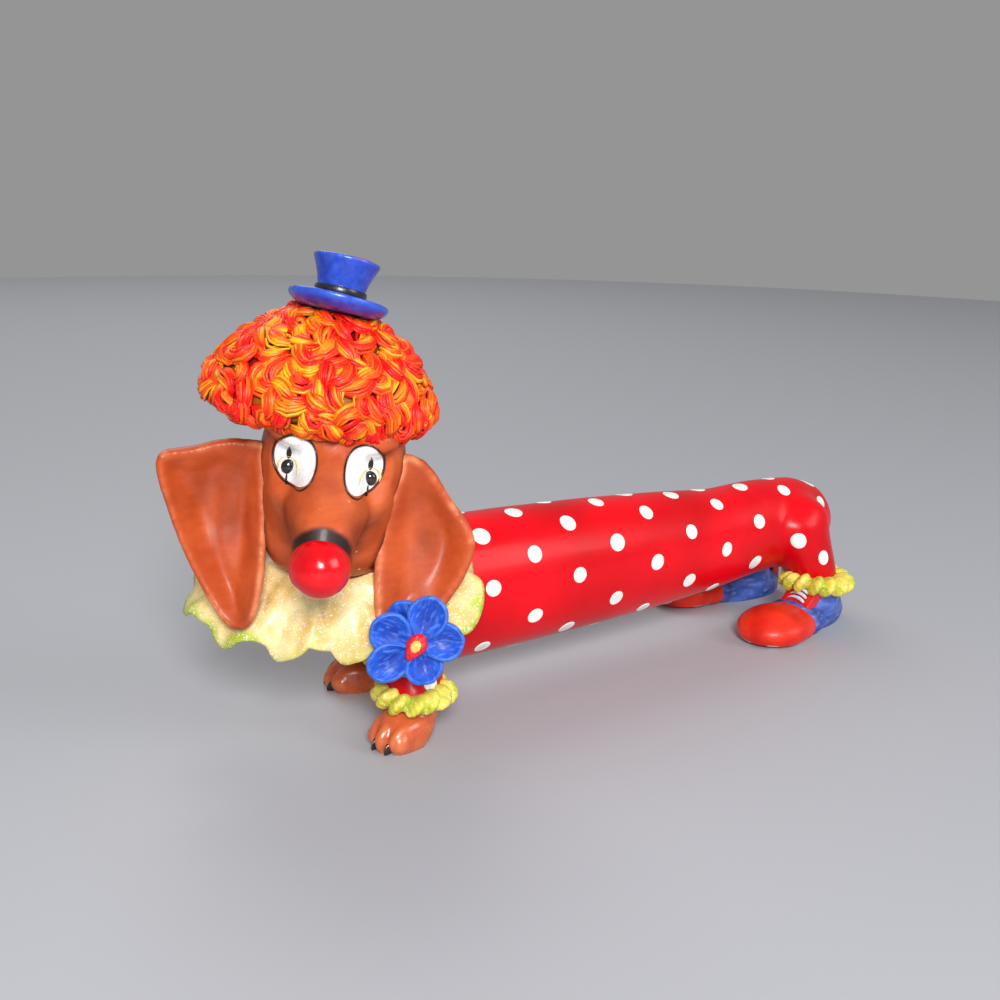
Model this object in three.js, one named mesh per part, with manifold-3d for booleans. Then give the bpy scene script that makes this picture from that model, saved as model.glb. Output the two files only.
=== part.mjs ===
// Cast ceramic dog figurine in clown dress: a long-bodied dog that stands on two front paws and two
// clown shoes, with its head turned to its left. Millimetres, +Z up, nose end towards -X.
import * as THREE from 'three';
import { mergeVertices } from 'three/addons/utils/BufferGeometryUtils.js';
import Module from 'manifold-3d';

const wasm = await Module();
wasm.setup();

// ---- driving dimensions (mm, degrees) ----
const gap = 0.35; // clearance between pieces that touch

const torsoLength = 154; // chest to rump
const torsoHeight = 34.6; // at the shoulders
const torsoWidth = 27;
const waistShare = 0.79; // waist height over shoulder height
const rumpShare = 0.75;
const torsoLift = 9.4; // belly above the ground at the shoulders

const frontLegX = -50;
const frontLegSide = 15.5; // paw's distance from the middle plane
const sleeveRadius = 5.9;
const rearLegX = 79;
const rearLegSide = 13.5;
const trouserRadius = 6.2;
const feetShift = 1.5; // front pair towards the left, rear pair towards the right
const frontStride = 7; // left front paw ahead of the right one

const pawLength = 17;
const pawWidth = 13.4;
const pawHeight = 9.2;
const pawSplay = 16;
const clawLength = 2.6;

const shoeLength = 40;
const toeWidth = 17.5;
const toeHeight = 9.6;
const heelWidth = 12.5;
const heelStripWidth = 2.7;
const shoeSplay = 8;
const ankleHeight = 12;

const frontCuffRadius = 8.4;
const rearCuffRadius = 9.6;
const cuffHeight = 4.6;

const skullCentre = new THREE.Vector3(-69.2, -8, 63.5);
const headTurn = 60; // from straight ahead towards the dog's left
const headRoll = 6.5;
const skullWidth = 30;
const skullLength = 33;
const skullHeight = 34;
const muzzleReach = 27; // skull centre to nose ball centre
const muzzleDrop = 15.5;
const muzzleRadius = 7.4;
const noseRadius = 6;
const neckRadius = 11.5;

const eyeSpacing = 15.6;
const eyeWidth = 9.2;
const eyeHeight = 10.4;
const eyeRise = 2.2; // above the skull centre
const pupilRadius = 1.25;

const earLength = 38;
const earWidth = 22.8;
const earThickness = 2.6;
const earSwing = 9; // how far the lower end hangs forwards

const wigWidth = 49.5;
const wigDepth = 44;
const wigHeight = 19; // above its widest line
const wigDrop = 6.6; // below it
const wigRise = 12; // widest line above the skull centre
const wigSide = 4; // towards the dog's right

const hatRadius = 6.7; // crown's top
const hatBaseRadius = 5.1;
const hatHeight = 9.4;
const brimRadius = 10.5;
const brimThickness = 1.4;
const brimLift = 2.6; // how far the rim turns up
const bandHeight = 1.5;
const bandProud = 0.25;
const hatLean = 12; // backwards
const hatTip = 6; // towards the dog's left
const hatSide = 1.5; // towards the dog's left

const ruffRadius = 33; // to the hem at the sides
const ruffFront = 18; // to the hem under the muzzle
const ruffBack = 24;
const ruffThickness = 3.2;
const ruffDrop = 7.5; // from neck to hem
const ruffLean = 18; // front hem lower than the back one
const ruffWaves = 10;
const ruffWaveHeight = 1.8;

const petalCount = 5;
const petalLength = 8.2;
const petalWidth = 6.6;
const petalThickness = 1.5;
const flowerHeart = 2.1; // inner end of a petal from the centre
const flowerAhead = 11.2; // flower's middle ahead of the front legs
const flowerOut = 12.8; // and outside them
const flowerRise = 0.4; // above the body's middle line
const flowerTilt = 82; // from facing upwards
const flowerTurn = -28;
const heartThickness = 1.4;
const beadThickness = 1.4;
const backingThickness = 1.5;
const heartRadius = 2.4;
const beadRadius = 1.15;

const laceCount = 3;
const laceThickness = 0.8;
const tailLength = 17;
const tailRadius = 2.6;
const tailOut = 1.5; // tip behind the root
const tailSwing = 4; // tip towards the dog's right

const tongueThickness = 2.4;
const tongueShare = 0.5; // tongue's width over the heel's
const laceShare = 0.7; // a lace's length over the tongue's width
const hatAhead = 1.5; // hat's middle ahead of the skull's
const hatSink = 0.9; // into the curls

// ---- finishes ----
const finishes = {
  suit: new THREE.MeshStandardMaterial({ color: 0xe8051f, roughness: 0.3, metalness: 0 }),
  fur: new THREE.MeshStandardMaterial({ color: 0xa8441c, roughness: 0.45, metalness: 0 }),
  wig: new THREE.MeshStandardMaterial({ color: 0xf05a18, roughness: 0.5, metalness: 0 }),
  blue: new THREE.MeshStandardMaterial({ color: 0x2c4fc0, roughness: 0.4, metalness: 0 }),
  noseRed: new THREE.MeshStandardMaterial({ color: 0xf20a1e, roughness: 0.25, metalness: 0 }),
  ruffYellow: new THREE.MeshStandardMaterial({ color: 0xf2d98a, roughness: 0.6, metalness: 0 }),
  cuffYellow: new THREE.MeshStandardMaterial({ color: 0xe8d23c, roughness: 0.5, metalness: 0 }),
  toeOrange: new THREE.MeshStandardMaterial({ color: 0xf0402a, roughness: 0.4, metalness: 0 }),
  white: new THREE.MeshStandardMaterial({ color: 0xf4f4ee, roughness: 0.4, metalness: 0 }),
  black: new THREE.MeshStandardMaterial({ color: 0x101014, roughness: 0.3, metalness: 0 }),
  beadYellow: new THREE.MeshStandardMaterial({ color: 0xf0d080, roughness: 0.5, metalness: 0 }),
};

// ---- solids ----
const radians = THREE.MathUtils.degToRad;

function toSolid(geometry, matrix = new THREE.Matrix4()) {
  const bare = geometry.clone();
  bare.deleteAttribute('normal');
  bare.deleteAttribute('uv');
  bare.applyMatrix4(matrix);
  const merged = mergeVertices(bare, 1e-4);
  return new wasm.Manifold(new wasm.Mesh({
    numProp: 3,
    vertProperties: new Float32Array(merged.attributes.position.array),
    triVerts: new Uint32Array(merged.index.array),
  }));
}

function toGeometry(solid) {
  const mesh = solid.getMesh();
  const geometry = new THREE.BufferGeometry();
  geometry.setAttribute('position', new THREE.BufferAttribute(new Float32Array(mesh.vertProperties), 3));
  geometry.setIndex(new THREE.BufferAttribute(new Uint32Array(mesh.triVerts), 1));
  geometry.computeVertexNormals();
  return geometry;
}

// the main body of a cut piece, without the slivers a cut can leave
function mainBody(solid) {
  const bodies = solid.decompose();
  bodies.sort((a, b) => b.volume() - a.volume());
  return bodies[0];
}

function cut(solid, ...cutters) {
  return mainBody(cutters.reduce((rest, cutter) => rest.subtract(cutter), solid));
}

function bend(geometry, move) {
  const place = geometry.attributes.position;
  const point = new THREE.Vector3();
  for (let i = 0; i < place.count; i += 1) {
    point.fromBufferAttribute(place, i);
    move(point);
    place.setXYZ(i, point.x, point.y, point.z);
  }
  return geometry;
}

// an egg with its poles on Z
function egg(halfX, halfY, halfZ, around = 16, up = 10) {
  const geometry = new THREE.SphereGeometry(1, around, up).rotateX(Math.PI / 2);
  return geometry.scale(halfX, halfY, halfZ);
}

// a limb of round sections from one point to another, with rounded ends
function limb(from, to, fromRadius, toRadius, around = 16) {
  const length = from.distanceTo(to);
  const profile = [];
  const capSteps = 4;
  for (let i = 0; i <= capSteps; i += 1) {
    const angle = (i / capSteps) * Math.PI / 2;
    profile.push(new THREE.Vector2(fromRadius * Math.sin(angle), -fromRadius * 0.6 * Math.cos(angle)));
  }
  for (let i = 0; i <= capSteps; i += 1) {
    const angle = (i / capSteps) * Math.PI / 2;
    profile.push(new THREE.Vector2(toRadius * Math.cos(angle), length + toRadius * 0.6 * Math.sin(angle)));
  }
  profile[0].x = 0;
  profile[profile.length - 1].x = 0;
  const geometry = new THREE.LatheGeometry(profile, around);
  const turn = new THREE.Quaternion().setFromUnitVectors(
    new THREE.Vector3(0, 1, 0), to.clone().sub(from).normalize());
  return geometry.applyQuaternion(turn).translate(from.x, from.y, from.z);
}

// a big block whose top face is at the given height, to trim what passes below it
function groundBlock(height = 0) {
  return toSolid(new THREE.BoxGeometry(400, 400, 60).translate(0, 0, height - 30));
}

// ---- torso ----
// share along the length, height and width as shares of the shoulders', and centre height offset
const torsoStations = [
  [0.0, 0.0, 0.2], [0.012, 0.55, 0.2], [0.04, 0.86, 0.1], [0.09, 1.0, 0], [0.25, 0.985, -0.2],
  [0.42, 0.94, -0.5], [0.58, 0.87, -0.9], [0.7, waistShare, -1.2], [0.8, rumpShare, 0],
  [0.9, 0.7, 0], [0.955, 0.56, -0.6], [0.985, 0.33, -1.4], [1.0, 0.0, -1.8],
];
const torsoFront = frontLegX - 9;
const torsoCentre = torsoLift + torsoHeight / 2;

function torsoShape(grow = 0) {
  const profile = torsoStations.map(([along, share]) => new THREE.Vector2(
    share === 0 ? 0 : share * torsoHeight / 2 + grow,
    along * torsoLength + (along < 0.5 ? -grow : grow)));
  const geometry = new THREE.LatheGeometry(profile, 24).rotateZ(-Math.PI / 2);
  return bend(geometry, (point) => {
    const along = THREE.MathUtils.clamp(point.x / torsoLength, 0, 1);
    const next = Math.max(1, torsoStations.findIndex((station) => station[0] >= along));
    const [startAlong, , startLift] = torsoStations[next - 1];
    const [endAlong, , endLift] = torsoStations[next];
    const mix = (along - startAlong) / (endAlong - startAlong);
    point.x += torsoFront;
    point.y *= (torsoWidth / 2 + grow) / (torsoHeight / 2 + grow);
    point.z += torsoCentre + THREE.MathUtils.lerp(startLift, endLift, mix);
  });
}
const torso = toSolid(torsoShape());
const torsoRoom = toSolid(torsoShape(gap));

// ---- legs; side is -1 on the dog's left and 1 on its right ----
const frontFoot = (side) => new THREE.Vector3(
  frontLegX - 1 + side * frontStride / 2, side * frontLegSide - feetShift, 0);
const rearFoot = (side) => new THREE.Vector3(rearLegX, side * rearLegSide + feetShift, 0);

const ankleRoom = { front: pawHeight - 1.2, rear: ankleHeight };
function frontLeg(side, grow = 0) {
  const ankle = frontFoot(side).setZ(ankleRoom.front + gap);
  const hip = new THREE.Vector3(ankle.x + 4, side * torsoWidth * 0.33, torsoCentre - 1);
  return toSolid(limb(ankle, hip, sleeveRadius + grow, sleeveRadius + 3.6 + grow));
}
function rearLeg(side, grow = 0) {
  const ankle = rearFoot(side).setZ(ankleRoom.rear + gap);
  const hip = new THREE.Vector3(rearLegX - 2, side * torsoWidth * 0.3, torsoCentre + 1);
  return toSolid(limb(ankle, hip, trouserRadius + grow, trouserRadius + 4 + grow));
}

// ---- cuffs: a ruffled ring round the ankle ----
function cuffShape(foot, radius, hole, bottom) {
  const waves = 9;
  const half = cuffHeight / 2;
  const profile = [
    [hole, -half * 0.6], [radius * 0.85, -half], [radius, -half * 0.4],
    [radius, half * 0.4], [radius * 0.85, half], [hole, half * 0.6], [hole, -half * 0.6],
  ].map(([r, z]) => new THREE.Vector2(r, z));
  const geometry = new THREE.LatheGeometry(profile, waves * 4).rotateX(Math.PI / 2);
  bend(geometry, (point) => {
    const reach = Math.hypot(point.x, point.y);
    if (reach < hole + 0.2) return;
    const wave = Math.sin(waves * Math.atan2(point.y, point.x));
    point.x *= 1 + 0.05 * wave;
    point.y *= 1 + 0.05 * wave;
    point.z += 0.45 * wave;
  });
  return toSolid(geometry.translate(foot.x, foot.y, bottom + half));
}

// ---- front paws ----
function pawShape(foot, side, grow = 0) {
  const geometry = egg(pawLength / 2 + grow, pawWidth / 2 + grow, pawHeight * 0.62 + grow, 18, 10);
  bend(geometry, (point) => {
    const toes = THREE.MathUtils.clamp(-point.x / (pawLength / 2), 0, 1);
    const across = point.y / (pawWidth / 2);
    point.z *= 1 - 0.22 * toes;
    point.x += toes * 0.7 * Math.cos(across * Math.PI * 1.5) * -1;
  });
  geometry.translate(-pawLength * 0.22, 0, pawHeight * 0.38);
  geometry.rotateZ(radians(side * pawSplay * -1)).translate(foot.x, foot.y, 0);
  return toSolid(geometry);
}

function clawShape(foot, side, place) {
  const geometry = egg(clawLength / 2, 0.75, 0.9, 8, 5).rotateY(radians(-20));
  geometry.translate(-pawLength * 0.7, place * pawWidth * 0.17, 1.75);
  geometry.rotateZ(radians(side * pawSplay * -1)).translate(foot.x, foot.y, 0);
  return geometry;
}

// ---- rear shoes ----
const toeLength = shoeLength * 0.52;
function shoeFrame(side) {
  const foot = rearFoot(side);
  return new THREE.Matrix4().makeTranslation(foot.x, foot.y, 0)
    .multiply(new THREE.Matrix4().makeRotationZ(radians(-side * shoeSplay)));
}
const heelBack = heelWidth * 0.98;
const toeFront = heelBack - shoeLength;

function toeCapShape() {
  const geometry = egg(toeLength / 2, toeWidth / 2, toeHeight * 0.62, 18, 10);
  return geometry.translate(toeFront + toeLength / 2, 0, toeHeight * 0.38);
}
function upperShape(grow = 0) {
  const low = egg(shoeLength * 0.36 + grow, heelWidth / 2 + grow, toeHeight * 0.66 + grow, 18, 10);
  low.translate(heelBack - shoeLength * 0.36, 0, toeHeight * 0.3);
  const ankle = limb(new THREE.Vector3(2, 0, 4), new THREE.Vector3(0.5, 0, ankleHeight + 2),
    heelWidth / 2 + grow, heelWidth * 0.46 + grow);
  return { low, ankle };
}
function shoeSolids(side) {
  const place = shoeFrame(side);
  const ground = groundBlock();
  const toeCap = toSolid(toeCapShape(), place).subtract(ground);
  const { low, ankle } = upperShape();
  const toeBox = new THREE.BoxGeometry(60, 60, 60).translate(toeBack + gap - 30, 0, 0);
  const toeEnd = new THREE.BoxGeometry(60, 60, 60).translate(toeBack + 30, 0, 0);
  const anklePlane = groundBlock().translate(0, 0, 60 + ankleHeight - gap);
  const heelCut = toSolid(new THREE.BoxGeometry(6, heelStripWidth + 2 * gap, ankleHeight * 0.9)
    .translate(heelBack - 0.4, 0, ankleHeight * 0.47), place);
  const heelPiece = toSolid(new THREE.BoxGeometry(2.6, heelStripWidth, ankleHeight * 0.84)
    .translate(heelBack - 1.4, 0, ankleHeight * 0.46), place);
  const upper = cut(
    toSolid(low, place).add(toSolid(ankle, place)).subtract(ground).subtract(anklePlane),
    toSolid(toeBox, place), heelCut);
  return { toeCap: mainBody(toeCap.subtract(toSolid(toeEnd, place))), upper, heelPiece };
}
const toeBack = toeFront + toeLength * 0.8;
const tongueTop = new THREE.Vector3(-heelWidth * 0.36, 0, ankleHeight - 1);
const tongueFoot = new THREE.Vector3(toeBack + gap + 2, 0, toeHeight * 0.74);
const tongueLength = tongueTop.distanceTo(tongueFoot);
// a slab that lies on the tongue's slope; up is measured from the slope, along from its middle
function onTongue(length, width, thickness, along = 0, up = 0) {
  const slope = Math.atan2(tongueTop.z - tongueFoot.z, tongueTop.x - tongueFoot.x);
  const middle = tongueTop.clone().add(tongueFoot).multiplyScalar(0.5);
  return new THREE.BoxGeometry(length, width, thickness).translate(along, 0, up)
    .rotateY(-slope).translate(middle.x, middle.y, middle.z);
}

// ---- head, in its own frame: forwards is -X, the dog's left is -Y ----
function skullShape(grow = 0) {
  const geometry = egg(skullLength / 2 + grow, skullWidth / 2 + grow, skullHeight / 2 + grow, 20, 12);
  return bend(geometry, (point) => {
    const forward = THREE.MathUtils.clamp(-point.x / (skullLength / 2), 0, 1);
    const low = THREE.MathUtils.clamp(-point.z / (skullHeight / 2), 0, 1);
    point.y *= 1 - 0.18 * forward * low;
  });
}
const noseCentre = new THREE.Vector3(-muzzleReach, 0, -muzzleDrop);
function muzzleShape(grow = 0) {
  const tip = noseCentre.clone().multiplyScalar((muzzleReach - noseRadius * 0.75) / muzzleReach);
  return limb(new THREE.Vector3(-skullLength * 0.12, 0, -4), tip,
    skullWidth * 0.36 + grow, muzzleRadius + grow, 20);
}
function headSolid(grow = 0, place = undefined) {
  return toSolid(skullShape(grow), place).add(toSolid(muzzleShape(grow), place));
}
function noseShape(grow = 0) {
  return egg(noseRadius + grow, noseRadius + grow, noseRadius + grow, 16, 10)
    .translate(noseCentre.x, noseCentre.y, noseCentre.z);
}

// the eye patch is a thin pad on the face: an egg whose middle is on the skull's surface
function eyeCentre(side) {
  const across = eyeSpacing / 2;
  const forward = skullLength / 2 * Math.sqrt(
    1 - (across / (skullWidth / 2)) ** 2 - (eyeRise / (skullHeight / 2)) ** 2);
  return new THREE.Vector3(-forward, side * across, eyeRise);
}
function eyeFrame(side) {
  const centre = eyeCentre(side);
  const normal = new THREE.Vector3(
    centre.x / skullLength ** 2, centre.y / skullWidth ** 2, centre.z / skullHeight ** 2).normalize();
  const facing = new THREE.Matrix4().lookAt(normal, new THREE.Vector3(), new THREE.Vector3(0, 0, 1));
  return facing.setPosition(centre);
}
function patchShape(side, grow = 0) {
  return egg(eyeWidth / 2 + grow, eyeHeight / 2 + grow, 1.5 + grow, 16, 8).applyMatrix4(eyeFrame(side));
}
function pupilShape(side, grow = 0) {
  return egg(pupilRadius + grow, pupilRadius + grow, pupilRadius + grow, 12, 8)
    .translate(0, -eyeHeight * 0.16, 1.9).applyMatrix4(eyeFrame(side));
}

// an ear is a cupped flap with a rolled rim, hung from the side of the skull
// outline points as shares of the ear's width and length, from the root outwards
const flaredEar = [
  [0.0, 0.02], [0.35, 0.05], [0.7, -0.02], [0.95, -0.08], [1.0, -0.17], [0.92, -0.38],
  [0.78, -0.62], [0.6, -0.83], [0.43, -0.97], [0.27, -1.0], [0.13, -0.92], [0.03, -0.68], [0.0, -0.34],
];
const hangingEar = [
  [0.0, 0.02], [0.22, -0.02], [0.48, -0.2], [0.68, -0.38], [0.7, -0.5], [0.62, -0.68],
  [0.5, -0.84], [0.4, -0.88], [0.3, -0.95], [0.18, -1.0], [0.08, -0.92], [0.02, -0.68], [0.0, -0.34],
];
function earShape(side, grow = 0) {
  const outline = new THREE.Shape();
  const points = (side > 0 ? flaredEar : hangingEar).map(
    ([out, down]) => new THREE.Vector2(out * earWidth, down * earLength));
  outline.moveTo(points[0].x, points[0].y);
  outline.splineThru(points.slice(1));
  outline.closePath();
  const geometry = new THREE.ExtrudeGeometry(outline, {
    depth: earThickness + 2 * grow, bevelEnabled: false, curveSegments: 2, steps: 1 });
  return geometry;
}

function earSolid(side, grow = 0) {
  // a dense plate, trimmed to the outline and then cupped
  const plate = toSolid(earShape(side, grow).translate(0, 0, -grow)).refine(2);
  const dense = toGeometry(plate);
  bend(dense, (point) => {
    const out = point.x / earWidth;
    const down = -point.y / earLength;
    const cup = 7.5 * Math.sin(Math.PI * THREE.MathUtils.clamp(out, 0, 1)) * (0.5 + 0.5 * down);
    const flare = 5 * out * (1 - down);
    const swing = earSwing * down ** 2;
    point.set(point.z + cup * 0.55 - flare * 0.6 + 1 - swing, point.x, point.y);
  });
  const root = new THREE.Matrix4().makeTranslation(
    -skullLength * 0.16, side * (skullWidth / 2 - 0.6), skullHeight * 0.06);
  const turn = new THREE.Matrix4().makeScale(1, side, 1);
  dense.applyMatrix4(turn);
  if (side < 0) dense.index.array.reverse();
  return toSolid(dense, root);
}

// ---- wig: a dome of curls with an open bottom that sits on the skull ----
function wigShape(grow = 0) {
  const geometry = egg(wigDepth / 2 + grow, wigWidth / 2 + grow, wigHeight + grow, 28, 14);
  bend(geometry, (point) => {
    const across = Math.atan2(point.y, point.x);
    const bump = 1 + 0.02 * Math.sin(9 * across) * Math.cos(7 * point.z / wigHeight);
    point.multiplyScalar(bump);
    if (point.z < 0) point.z *= (wigDrop * 1.4) / wigHeight;
  });
  return geometry.translate(1.5, wigSide, wigRise);
}

// ---- hat, in its own frame, standing on z = 0 ----
const crownBase = brimThickness + gap;
function hatBrimShape() {
  const profile = [[0, 0], [hatBaseRadius, 0], [brimRadius * 0.8, brimLift * 0.35], [brimRadius, brimLift],
    [brimRadius * 0.985, brimLift + brimThickness], [brimRadius * 0.78, brimLift * 0.35 + brimThickness],
    [hatBaseRadius + 1, brimThickness], [0, brimThickness]];
  return new THREE.LatheGeometry(profile.map(([r, z]) => new THREE.Vector2(r, z)), 28).rotateX(Math.PI / 2);
}
function hatCrownShape() {
  const core = hatBaseRadius - bandProud - gap;
  const profile = [[0, crownBase], [core - 0.6, crownBase], [core - 0.6, crownBase + bandHeight + gap],
    [hatBaseRadius, crownBase + bandHeight + gap], [hatRadius, crownBase + hatHeight - 0.5],
    [hatRadius - 0.5, crownBase + hatHeight], [0, crownBase + hatHeight]];
  return new THREE.LatheGeometry(profile.map(([r, z]) => new THREE.Vector2(r, z)), 28).rotateX(Math.PI / 2);
}
function hatBandShape() {
  const inner = hatBaseRadius - bandProud - 0.6;
  const outer = hatBaseRadius + bandProud;
  const top = crownBase + bandHeight;
  const profile = [[inner, crownBase], [outer, crownBase], [outer, top], [inner, top], [inner, crownBase]];
  return new THREE.LatheGeometry(profile.map(([r, z]) => new THREE.Vector2(r, z)), 28).rotateX(Math.PI / 2);
}

// ---- ruff: a flared, scalloped collar round the neck ----
const neckBase = new THREE.Vector3(frontLegX - 2, 0, torsoCentre + 7);
const neckTop = skullCentre.clone().add(new THREE.Vector3(1, 1, -skullHeight * 0.32));
function neckShape(grow = 0) {
  return limb(neckBase, neckTop, neckRadius + 2 + grow, neckRadius + grow, 20);
}
const ruffCentre = new THREE.Vector3(skullCentre.x + 3, skullCentre.y + 4.5, skullCentre.z - 23.5);
function ruffShape() {
  const steps = 5;
  const upperSide = [];
  const underSide = [];
  for (let i = 0; i <= steps; i += 1) {
    const out = i / steps;
    const reach = neckRadius + 0.6 + (ruffRadius - neckRadius) * out;
    const fall = -ruffDrop * out ** 1.5;
    upperSide.unshift(new THREE.Vector2(reach, fall + ruffThickness / 2 * (1 - 0.35 * out)));
    underSide.push(new THREE.Vector2(reach, fall - ruffThickness / 2 * (1 - 0.35 * out)));
  }
  const profile = [...underSide, ...upperSide, underSide[0].clone()];
  const geometry = new THREE.LatheGeometry(profile, ruffWaves * 5).rotateX(Math.PI / 2);
  bend(geometry, (point) => {
    const angle = Math.atan2(point.y, point.x);
    const out = THREE.MathUtils.clamp(
      (Math.hypot(point.x, point.y) - neckRadius) / (ruffRadius - neckRadius), 0, 1);
    const reach = point.x < 0 ? ruffFront : ruffBack;
    point.z += ruffWaveHeight * out * Math.sin(ruffWaves * angle);
    point.x *= THREE.MathUtils.lerp(1, reach / ruffRadius, out);
  });
  return geometry.rotateY(radians(-ruffLean)).rotateZ(radians(headTurn))
    .translate(ruffCentre.x, ruffCentre.y, ruffCentre.z);
}

// ---- flower on the left sleeve; its own frame faces +Z ----
const petalMiddle = flowerHeart + petalLength / 2;
function petalShape() {
  const geometry = egg(petalWidth / 2, petalLength / 2, petalThickness / 2, 14, 6);
  return bend(geometry, (point) => {
    const reach = (point.x / (petalWidth / 2)) ** 2 + (point.y / (petalLength / 2)) ** 2;
    point.z += 1.1 * reach;
  }).translate(0, petalMiddle, 0);
}

// ---- assembly ----
const dog = new THREE.Group();
function addPart(parent, name, shape, finish) {
  const geometry = shape instanceof THREE.BufferGeometry ? shape : toGeometry(shape);
  const mesh = new THREE.Mesh(geometry, finishes[finish].clone());
  mesh.name = name;
  parent.add(mesh);
  return mesh;
}

const sides = [['left', -1], ['right', 1]];

const headTurned = new THREE.Group();
headTurned.position.copy(skullCentre);
headTurned.rotation.set(radians(headRoll), 0, radians(headTurn), 'ZYX');
headTurned.updateMatrixWorld(true);
const headPlace = headTurned.matrixWorld.clone();

const headCore = headSolid();
const headRoom = headSolid(gap);
const noseRoom = toSolid(noseShape(gap));
const patchRoom = sides.map(([, side]) => toSolid(patchShape(side, gap)));
const wigSolid = toSolid(wigShape());
const wigFloor = groundBlock().translate(0, 0, wigRise - wigDrop);
const ears = sides.map(([, side]) => earSolid(side));
const earRoom = sides.map(([, side]) => earSolid(side, gap));

addPart(headTurned, 'head', cut(headCore, noseRoom, ...patchRoom), 'fur');
addPart(headTurned, 'nose_ball', noseShape(), 'noseRed');
sides.forEach(([label, side], index) => {
  addPart(headTurned, `${label}_ear`, cut(ears[index], headRoom), 'fur');
  const patch = cut(toSolid(patchShape(side)), toSolid(pupilShape(side, gap)), toSolid(wigShape(gap)));
  addPart(headTurned, `${label}_eye_patch`, patch, 'white');
  addPart(headTurned, `${label}_pupil`, pupilShape(side), 'black');
});

const hat = new THREE.Group();
hat.position.set(-hatAhead, wigSide - hatSide, wigRise + wigHeight - hatSink);
hat.rotation.set(radians(hatTip), radians(hatLean), 0);
hat.updateMatrix();
const hatRoom = toSolid(hatBrimShape().scale(1.05, 1.05, 1).translate(0, 0, -gap), hat.matrix);
addPart(headTurned, 'wig', cut(wigSolid, wigFloor, headRoom, hatRoom, ...earRoom), 'wig');
addPart(hat, 'hat_brim', hatBrimShape(), 'blue');
addPart(hat, 'hat_crown', hatCrownShape(), 'blue');
addPart(hat, 'hat_band', hatBandShape(), 'black');
headTurned.add(hat);
dog.add(headTurned);

addPart(dog, 'torso', torso, 'suit');
const headWorldRoom = headRoom.transform(headPlace.elements);
const earWorldRoom = earRoom.map((solid) => solid.transform(headPlace.elements));
const neck = cut(toSolid(neckShape()), torsoRoom, headWorldRoom, ...earWorldRoom);
const neckRoom = toSolid(neckShape(gap));
addPart(dog, 'neck', neck, 'fur');

const legRoom = [];
sides.forEach(([label, side]) => {
  const frontFootAt = frontFoot(side);
  const rearFootAt = rearFoot(side);
  const sleeveRoom = frontLeg(side, gap);
  const trouserRoom = rearLeg(side, gap);
  legRoom.push(sleeveRoom);
  const sleeveFloor = groundBlock(ankleRoom.front + gap);
  const trouserFloor = groundBlock(ankleRoom.rear + gap);
  addPart(dog, `${label}_sleeve`,
    cut(frontLeg(side), sleeveFloor, torsoRoom, neckRoom, ...earWorldRoom), 'suit');
  addPart(dog, `${label}_trouser_leg`, cut(rearLeg(side), trouserFloor, torsoRoom), 'suit');
  const frontCuff = cuffShape(frontFootAt, frontCuffRadius, sleeveRadius + gap, ankleRoom.front + gap);
  const rearCuff = cuffShape(rearFootAt, rearCuffRadius, trouserRadius + gap, ankleRoom.rear + gap);
  addPart(dog, `${label}_front_cuff`, cut(frontCuff, torsoRoom, sleeveRoom), 'cuffYellow');
  addPart(dog, `${label}_rear_cuff`, cut(rearCuff, torsoRoom, trouserRoom), 'cuffYellow');

  const claws = [-1, 1].map((place) => clawShape(frontFootAt, side, place));
  const clawRoom = [-1, 1].map((place) => {
    const grown = clawShape(frontFootAt, side, place);
    grown.computeBoundingBox();
    const centre = grown.boundingBox.getCenter(new THREE.Vector3());
    return toSolid(grown.translate(-centre.x, -centre.y, -centre.z).scale(1.5, 1.5, 1.5)
      .translate(centre.x, centre.y, centre.z));
  });
  const pawTrim = groundBlock().translate(0, 0, 60 + ankleRoom.front);
  const paw = cut(pawShape(frontFootAt, side), groundBlock(), pawTrim, ...clawRoom);
  addPart(dog, `${label}_paw`, paw, 'fur');
  claws.forEach((claw, index) => {
    addPart(dog, `${label}_claw_${index + 1}`, claw, 'black');
  });

  const { toeCap, upper, heelPiece } = shoeSolids(side);
  const place = shoeFrame(side);
  const tongueWidth = heelWidth * tongueShare;
  const tongueRoom = toSolid(onTongue(
    tongueLength + 4, tongueWidth + 2 * gap, tongueThickness + 2 * gap), place);
  const tongueTrim = groundBlock().translate(0, 0, 60 + ankleHeight - gap);
  addPart(dog, `${label}_shoe_toe`, toeCap, 'toeOrange');
  addPart(dog, `${label}_shoe_upper`, cut(upper, tongueRoom), 'blue');
  addPart(dog, `${label}_shoe_heel`, heelPiece, 'suit');
  addPart(dog, `${label}_shoe_tongue`, cut(
    toSolid(onTongue(tongueLength, tongueWidth, tongueThickness), place), tongueTrim), 'suit');
  const lacePitch = tongueLength / (laceCount + 1.6);
  for (let i = 0; i < laceCount; i += 1) {
    const along = (i - (laceCount - 1) / 2) * lacePitch - 0.6;
    const lace = onTongue(laceThickness, tongueWidth * laceShare, laceThickness, along,
      (tongueThickness + laceThickness) / 2 + gap);
    addPart(dog, `${label}_shoe_lace_${i + 1}`, lace.applyMatrix4(place), 'white');
  }
});

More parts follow.
